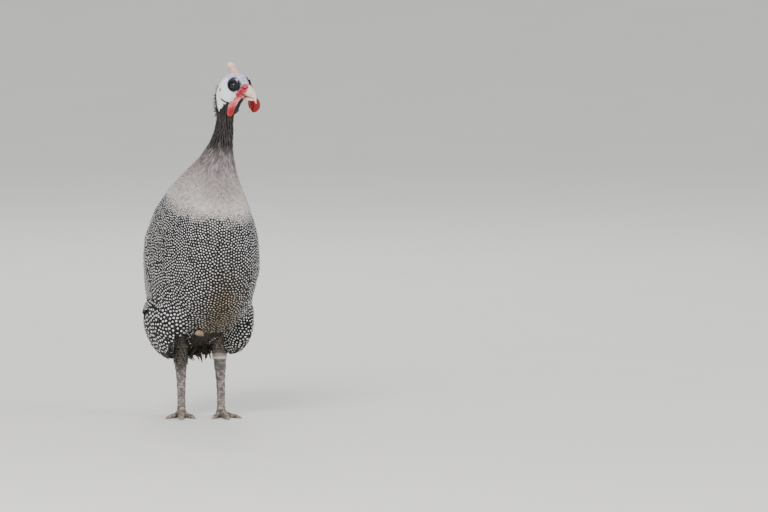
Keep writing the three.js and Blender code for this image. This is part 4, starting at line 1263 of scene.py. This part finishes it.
def horn_sculpt(co, nn):
    f, _, u = to_head(co).T
    w = wander(co * [1, 1, 0.35], 0.0016, 3.0)
    colour = layered(
        [0.36, 0.27, 0.33],
        ([0.66, 0.43, 0.34], smooth(u + w, 9.5, 14)),
        ([0.86, 0.66, 0.50], smooth(u + w, 19, 26)),
        ([0.66, 0.36, 0.17], smooth(f + 0.55 * u + 0.7 * w, 2.0, -2.0) * smooth(u, 16, 20) * 0.8),
        ([0.62, 0.24, 0.24], 0.6 * smooth(wander(co, 0.004, 9.0), 0.1, 0.6)))
    return 0.16 * w + 0.08 * np.sin(u * 4.2 + w), colour


def bill_sculpt(co, nn):
    f, _, u = to_head(co).T
    w = wander(co, 0.0022, 7.0)
    colour = layered(
        [0.52, 0.34, 0.28],
        ([0.82, 0.66, 0.55], smooth(f + w, 15, 22)),
        ([0.62, 0.26, 0.22], smooth(u, -21.5, -24.5) * smooth(f, 29, 31.5) * 0.6),
        ([0.34, 0.27, 0.24], 0.5 * smooth(w, 0.2, 0.8)))
    return 0.07 * w + 0.04 * np.sin(f * 3.6 + w), colour


fused_piece("skin_head", ["head"], 0.00042, 3, SKIN, "bare_skin", head_sculpt, extra=head_extra)
casque = fused_piece("casque", ["helmet"], 0.00035, 4, HORN, "horn", horn_sculpt)
# The tip is blunt and a little lower than a plain taper gives
q = to_head(points_of(casque.data))
core = np.interp(q[:, 2], [8, 13, 18, 22.5, 26, 29.8], [-4.75, -5.8, -8, -10.3, -12.2, -14.5])
share = smooth(q[:, 2], 12, 27)
q[:, 0] += 3.0 * smooth(q[:, 0] - core, -1, 4) * smooth(q[:, 2], 22, 9)
q[:, 0] = core + (q[:, 0] - core) * (1 + 0.5 * share) + 0.6 * share
q[:, 1] *= 1 + 0.25 * share
q[:, 2] = np.where(q[:, 2] > 9, 9 + (q[:, 2] - 9) * 0.84, q[:, 2])
move(casque.data, EYES + q @ AXES * MM)
fused_piece("bill_top", ["bill_upper"], 0.0003, 5, BILL, "bill", bill_sculpt)
fused_piece("bill_under", ["bill_lower"], 0.0003, 4, BILL, "bill", bill_sculpt)
fused_piece("wattle_near", ["wattle_right"], 0.0004, 5, WATTLE, "wattle", wattle_sculpt(-1))
far_wattle = fused_piece("wattle_far", ["wattle_left"], 0.0004, 5, WATTLE, "wattle", wattle_sculpt(1))
# It spreads a little wider towards its lower edge
q = to_head(points_of(far_wattle.data))
top = q[:, 2].max()
drop = smooth(q[:, 2], top - 3, top - 14)
q[:, 0] = q[:, 0].mean() + (q[:, 0] - q[:, 0].mean()) * (1 + 0.28 * drop) - 1.2 * drop
q[:, 2] = top + (q[:, 2] - top) * 1.12
move(far_wattle.data, EYES + q @ AXES * MM)

# Eyes: a dark brown iris round a black pupil, under a clear surface
rings, turns = 28, 40
aa, bb = np.meshgrid(np.linspace(0.02, math.pi - 0.02, rings), np.linspace(0, 2 * math.pi, turns, endpoint=False),
                     indexing="ij")
bulge = 6.4 + 0.35 * np.exp(-(aa / 0.5) ** 2)
i, j = np.meshgrid(np.arange(rings - 1), np.arange(turns), indexing="ij")
here, after = i * turns, (i + 1) * turns
faces = np.stack([here + j, here + (j + 1) % turns, after + (j + 1) % turns, after + j], -1).reshape(-1, 4)
colour = layered([0.004, 0.004, 0.005], ([0.022, 0.013, 0.010], smooth(aa.ravel(), 0.30, 0.34)),
                 ([0.008, 0.007, 0.008], smooth(aa.ravel(), 0.52, 0.62)))
for side, word in SIDES:
    axis = unit(AXES[1] * side + AXES[0] * 0.12)
    up = AXES[2]
    fore = np.cross(up, axis)
    ring = (up * np.cos(bb)[..., None] + fore * np.sin(bb)[..., None]) * np.sin(aa)[..., None]
    co = from_head(2.6, side * 9.3, -2.2) + (axis * np.cos(aa)[..., None] + ring) * bulge[..., None] * MM
    eye = build("eyeball_" + word, co.reshape(-1, 3), faces, EYE, colours={"paint": colour})
    finish_piece(eye, "eye", "eye_" + word)


# Loose feathers and hairs

def free_vanes(name, start, heading, sag, length, width, tint, material, shape, rows=6, cols=2):
    """Single feathers or hairs that stand free of the body, bending by sag over their length."""
    u = np.linspace(0, 1, rows + 1)[None, :, None]
    heading = unit(heading)
    axis = start[:, None] + heading[:, None] * length[:, None, None] * u
    axis = axis + np.broadcast_to(sag, start.shape)[:, None] * u ** 2
    ahead = unit(np.gradient(axis, axis=1))
    side = unit(np.cross(ahead, np.array([0.25, -0.9, 0.3])))
    return vanes(name, axis, np.cross(side, ahead), width, tint, material, shape, cols, 0.0002, 0.1, side)[0]


head_tree, neck_tree = mesh_tree(bpy.data.objects["skin_head"].data), mesh_tree(form.data)
# The throat's middle line, and how far out from it the rays start
THROAT = EYES[:2] + [-0.0065, 0.0225]
OUTSIDE = 0.04
collar = []
for z in (0.4085, 0.4060, 0.4035, 0.4010):
    count = 34
    for k in range(count):
        a = 2 * math.pi * (k + rng.uniform(-0.4, 0.4)) / count
        out = Vector((math.cos(a), math.sin(a), 0))
        start = z + rng.uniform(-0.0012, 0.0012)
        reach = rng.uniform(0.0085, 0.0125)
        line = []
        for u in np.linspace(0, 1, 7):
            centre = Vector((*THROAT, start - reach * u))
            depths = [tree.ray_cast(centre + out * OUTSIDE, -out, OUTSIDE)[3] for tree in (head_tree, neck_tree)]
            near = min([h for h in depths if h is not None] or [0.031])
            line.append(centre + out * (OUTSIDE - near + 0.0003 + 0.0022 * u))
        collar.append(np.array(line))
axis = np.array(collar)
even_out(axis, 3)
normal = unit((axis - [*THROAT, 0]) * [1, 1, 0])
collar = vanes("throat_collar", axis, normal, rng.uniform(0.0016, 0.0026, len(axis)),
               shades(NECK_BLACK, len(axis), 0.3), HACKLE, (0.2, 0.35, 1.4), cols=2, cup=0.0001,
               ragged=0.08)[0]
finish_piece(collar, "neck_plumage")

count = 520
u = rng.uniform(-44, -5, count)
l = rng.normal(0, 3.4, count)
rear = np.interp(u, [-44, -30, -18, -6, 0], [-34.5, -36, -35, -31, -27]) + 0.035 * l ** 2
start = EYES + np.stack([rear + 0.6, l, u], 1) @ AXES * MM
heading = np.stack([rng.normal(-0.75, 0.25, count), rng.normal(0, 0.35, count) + 0.1 * l,
                    rng.normal(0.25, 0.45, count)], 1) @ AXES
hair_length = rng.uniform(0.0018, 0.0046, count)
sag = np.stack([rng.normal(0, 0.0008, count), rng.normal(0, 0.0008, count), rng.uniform(-0.0016, 0.0006, count)], 1)
hairs = free_vanes("nape_hairs", start, heading, sag, hair_length, 0.00050,
                   shades(NECK_BLACK, count, 0.2), HACKLE, (0.1, 0.3, 1.2))
finish_piece(hairs, "neck_plumage")

# Loose feather tips hang in the hollow between the legs, in its painted shade colour
count = 170
start = np.stack([rng.uniform(-17, 25, count), rng.uniform(10, 52, count), rng.uniform(86, 100, count)], 1) * MM + SHIFT
heading = np.stack([rng.normal(0.25, 0.45, count), rng.normal(0.1, 0.3, count), rng.uniform(-1.0, -0.45, count)], 1)
tips = free_vanes("belly_tips", start, heading, [0.0, 0.0, -0.001], rng.uniform(0.009, 0.017, count), 0.0038,
                  shades(HOLLOW_SHADE * 1.2, count, 0.25), FEATHER, (0.3, 0.35, 1.3), cols=4)
finish_piece(tips, "plumage")

# A few tips stand out sideways beside the right leg, dark with the painted shade colour of the hollow between the legs
count = 9
start = np.stack([rng.uniform(-14, -9, count), rng.uniform(16, 30, count), rng.uniform(76, 92, count)], 1) * MM + SHIFT
heading = np.stack([rng.uniform(0.7, 1.0, count), rng.normal(-0.2, 0.2, count), rng.uniform(-0.55, 0.05, count)], 1)
stray = free_vanes("stray_tips", start, heading, [0.0, 0.0, -0.002], rng.uniform(0.010, 0.017, count), 0.0026,
                   shades(HOLLOW_SHADE, count, 0.25), FEATHER, (0.3, 0.3, 1.2))
finish_piece(stray, "plumage")

# Legs and feet

LEGS = {
    "left": dict(side=1, foot=(25, -4), hock=(28.5, 11, 88), heading=-10),
    "right": dict(side=-1, foot=(-23.5, 14), hock=(-19, 29, 88), heading=-22),
}
TOES = {"middle": (0, 43), "inner": (-29, 32), "outer": (31, 33), "hind": (174, 15)}


ANKLE, SHANK = 13.0, 75.0


def shank_at(plan, height):
    """The middle of the shank at a share of its height, 0 above the foot and 1 at the hock, in millimetres."""
    foot, hock = np.array([*plan["foot"], ANKLE]), np.array(plan["hock"], float)
    return foot + (hock - foot) * height


def plates(a, b, size_a, size_b, stagger=0.5):
    """Staggered plates in the plane (a, b): the distance to the nearest joint and the plate's number."""
    row = np.floor(b / size_b)
    shifted = a / size_a + stagger * np.mod(row, 2)
    col = np.floor(shifted)
    edge_a = np.minimum(shifted - col, 1 - (shifted - col)) * size_a
    edge_b = np.minimum(b / size_b - row, 1 - (b / size_b - row)) * size_b
    return np.minimum(edge_a, edge_b), hashed(row, col)


def leg_sculpt(plan):
    def sculpt(co, nn):
        p = (co - SHIFT) / MM
        w = wander(co, 0.004, 1.0)
        centre = shank_at(plan, np.clip((p[:, 2] - ANKLE) / SHANK, -0.2, 1.2)[:, None])
        turn = math.radians(plan["heading"])
        fore = np.array([math.sin(turn), -math.cos(turn), 0])
        left = np.array([math.cos(turn), math.sin(turn), 0])
        off = p - centre
        angle = np.arctan2(off @ left, off @ fore)
        arc = angle * 5.6
        z = p[:, 2]
        bulk = 1.3 * smooth(z, 46, 74) * smooth(z, 92, 86)
        front = np.abs(angle) < 0.95
        edge_front, id_front = plates(arc - 2.3, z + 0.5 * w, 4.6, 3.4)
        edge_side, id_side = plates(arc, z + 0.3 * w, 2.3, 2.2)
        edge_rear, id_rear = plates(arc, z, 2.9, 3.0)
        rear = np.abs(angle) > 2.3
        edge = np.where(front, edge_front, np.where(rear, edge_rear, edge_side))
        number = np.where(front, id_front, np.where(rear, id_rear, id_side))
        tall = np.where(front, 0.42, 0.26)
        # The toes carry cross plates on top and soft pads beneath
        low = smooth(z, 14.5, 12.0)
        best = np.full(len(p), 1e9)
        toe_edge, toe_number = np.full(len(p), 1.0), np.zeros(len(p))
        for k, (bearing, length) in enumerate(TOES.values()):
            a = turn + math.radians(bearing * plan["side"])
            ahead = np.array([math.sin(a), -math.cos(a)])
            across = np.array([math.cos(a), math.sin(a)])
            rel = p[:, :2] - np.array(plan["foot"])
            d, s = rel @ ahead, np.abs(rel @ across)
            away = s + 3 * np.clip(-d, 0, None)
            step = 2.7
            row = np.floor(d / step)
            joint = np.minimum(d / step - row, 1 - (d / step - row)) * step
            top = z > 0.35 * (12 - 0.16 * np.clip(d, 0, length))
            fine_edge, fine_id = plates(rel @ across, d, 1.7, 1.7)
            e = np.where(top & (s < 3.6), joint, fine_edge)
            i = np.where(top & (s < 3.6), hashed(row, k), fine_id)
            closer = away < best
            best = np.where(closer, away, best)
            toe_edge = np.where(closer, e, toe_edge)
            toe_number = np.where(closer, i, toe_number)
        use_toe = low > 0.5
        edge = np.where(use_toe, toe_edge, edge)
        number = np.where(use_toe, toe_number, number)
        tall = np.where(use_toe, 0.34, tall)
        under = smooth(nn[:, 2], -0.5, -0.8) * smooth(z, 3, 1)
        bare = smooth(z, 90, 86)
        rise = (tall * (smooth(edge, 0.0, 0.55) - 0.6) + 0.10 * (number - 0.5)) * bare * (1 - under)
        rise += bulk - 3.2 * smooth(z, 90, 98)
        rise = np.where(z < 0.6, np.minimum(rise, 0), rise)
        blotch = smooth(wander(co, 0.0050, 12.0), -0.25, 0.05) * smooth(z, 24, 9)
        toe = mix([0.085, 0.075, 0.075], [0.46, 0.33, 0.27],
                  smooth(wander(co, 0.0042, 31.0) + 0.7 * (number - 0.5), -0.3, 0.5))
        plate = layered(
            [0.075, 0.062, 0.060],
            ([0.30, 0.255, 0.24], smooth(number + 0.35 * w, 0.1, 0.9)),
            ([0.40, 0.33, 0.29], smooth(z + 3 * w, 34, 18) * 0.5),
            ([0.12, 0.105, 0.10], smooth(z + 4 * w, 56, 76) * 0.75),
            ([0.05, 0.046, 0.050], blotch * 0.85),
            ([0.55, 0.36, 0.27], smooth(wander(co, 0.005, 21.0), 0.3, 0.7) * smooth(z, 20, 8) * 0.5),
            (toe, smooth(z, 17, 12) * 0.8))
        colour = layered([0.07, 0.057, 0.049], (plate, smooth(edge, 0.08, 0.4)), ([0.13, 0.10, 0.085], under))
        return rise, colour
    return sculpt


for word, plan in LEGS.items():
    # The copy reaches up into the thigh, under its feathers, so that no seam shows
    leg = fused_piece("leg_" + word, ["thigh_" + word, "shank_" + word, "foot_" + word], 0.00055, 3, LEG, "leg_scale",
                      leg_sculpt(plan))
    foot_co = points_of(leg.data)
    foot_co[:, 2] = np.maximum(foot_co[:, 2], 0.0)
    move(leg.data, foot_co)


def boot(word, plan, rows, slack):
    """Short feathers that clothe the leg down to below the hock, in rings that overlap downwards."""
    leg_tree = mesh_tree(bpy.data.objects["leg_" + word].data)
    axes, outs, widths, tints = [], [], [], []
    for level, (z, count) in enumerate(rows):
        for k in range(count):
            a = 2 * math.pi * (k + 0.5 * (level % 2) + rng.uniform(-0.15, 0.15)) / count
            out = np.array([math.cos(a), math.sin(a), 0.0])
            reach = rng.uniform(9.5, 12.0)
            line = []
            for u in np.linspace(0, 1, 7):
                height = z - reach * u + rng.uniform(-0.1, 0.1)
                centre = shank_at(plan, min((height - ANKLE) / SHANK, 1.0)) * MM + SHIFT
                centre[2] = height * MM
                spot = leg_tree.ray_cast(centre + out * 0.03, -out, 0.03)[0]
                radius = 0.0065 if spot is None else np.linalg.norm((np.array(spot) - centre)[:2])
                radius = max(radius, 0.0068 * smooth(height, 84, 92)) + 0.0003 + slack * u
                line.append(centre + out * radius)
            axes.append(line)
            outs.append(np.tile(out, (7, 1)))
            widths.append(rng.uniform(0.0042, 0.0052))
            tints.append(mix(THIGH, [0.15, 0.13, 0.115], 0.5 * (rng.random() < 0.3)))
    obj, co, normal = vanes("boot_" + word, np.array(axes), np.array(outs), np.array(widths),
                            varied(np.array(tints), 0.16), FEATHER, (0.3, 0.4, 1.6), cols=4, cup=0.0004, ragged=0.08)
    finish_piece(obj, "plumage")
    places = np.array([(k, u, v, 0.0014, 0.0011)
                       for k in range(len(axes)) for u in (0.55, 0.74, 0.9) for v in (-0.45, 0.45)])
    centre, n, ahead = marks_on(co, normal, places)
    tint = shades([0.27, 0.24, 0.21], len(centre), 0.15, 0.03)
    dots = pearls("boot_spots_" + word, centre, n, ahead, places[:, 3], places[:, 4], tint, soup_tree([obj]),
                  proud=0.0001, reach=0.002, own=owners(co, places, 0))
    finish_piece(dots, "plumage")


# Height and number of the feathers of each ring
boot("right", LEGS["right"], [(112, 13), (108, 13), (104, 13), (100, 13), (95.5, 13), (91, 13), (86.5, 12), (82, 12),
                              (78, 11)], 0.0016)
boot("left", LEGS["left"], [(104, 13), (100, 13), (96, 13), (92.5, 13)], 0.0022)


def claw_sculpt(co, nn):
    w = wander(co, 0.0015, 5.0)
    horn = mix([0.20, 0.16, 0.14], [0.42, 0.35, 0.30], 0.5 + 0.5 * w)
    return 0.05 * w, mix(horn, [0.14, 0.11, 0.10], smooth(co[:, 2], 0.0005, 0.004) * 0.6)


claw_nodes = [f"claw_{word}_{toe}" for word in LEGS for toe in TOES]
fused_piece("claws", claw_nodes, 0.00028, 2, CLAW, "claw", claw_sculpt)


def band_sculpt(co, nn):
    w = wander(co, 0.004, 5.0)
    edge = smooth(co[:, 2], 0.0750, 0.0757) * smooth(co[:, 2], 0.0825, 0.0818)
    colour = mix([0.34, 0.28, 0.25], [0.60, 0.57, 0.55], smooth(co[:, 2] + 0.0006 * w, 0.0790, 0.0768) * edge)
    return 0.03 * w, colour


fused_piece("leg_ring", ["leg_band"], 0.0003, 2, BAND, "band", band_sculpt)
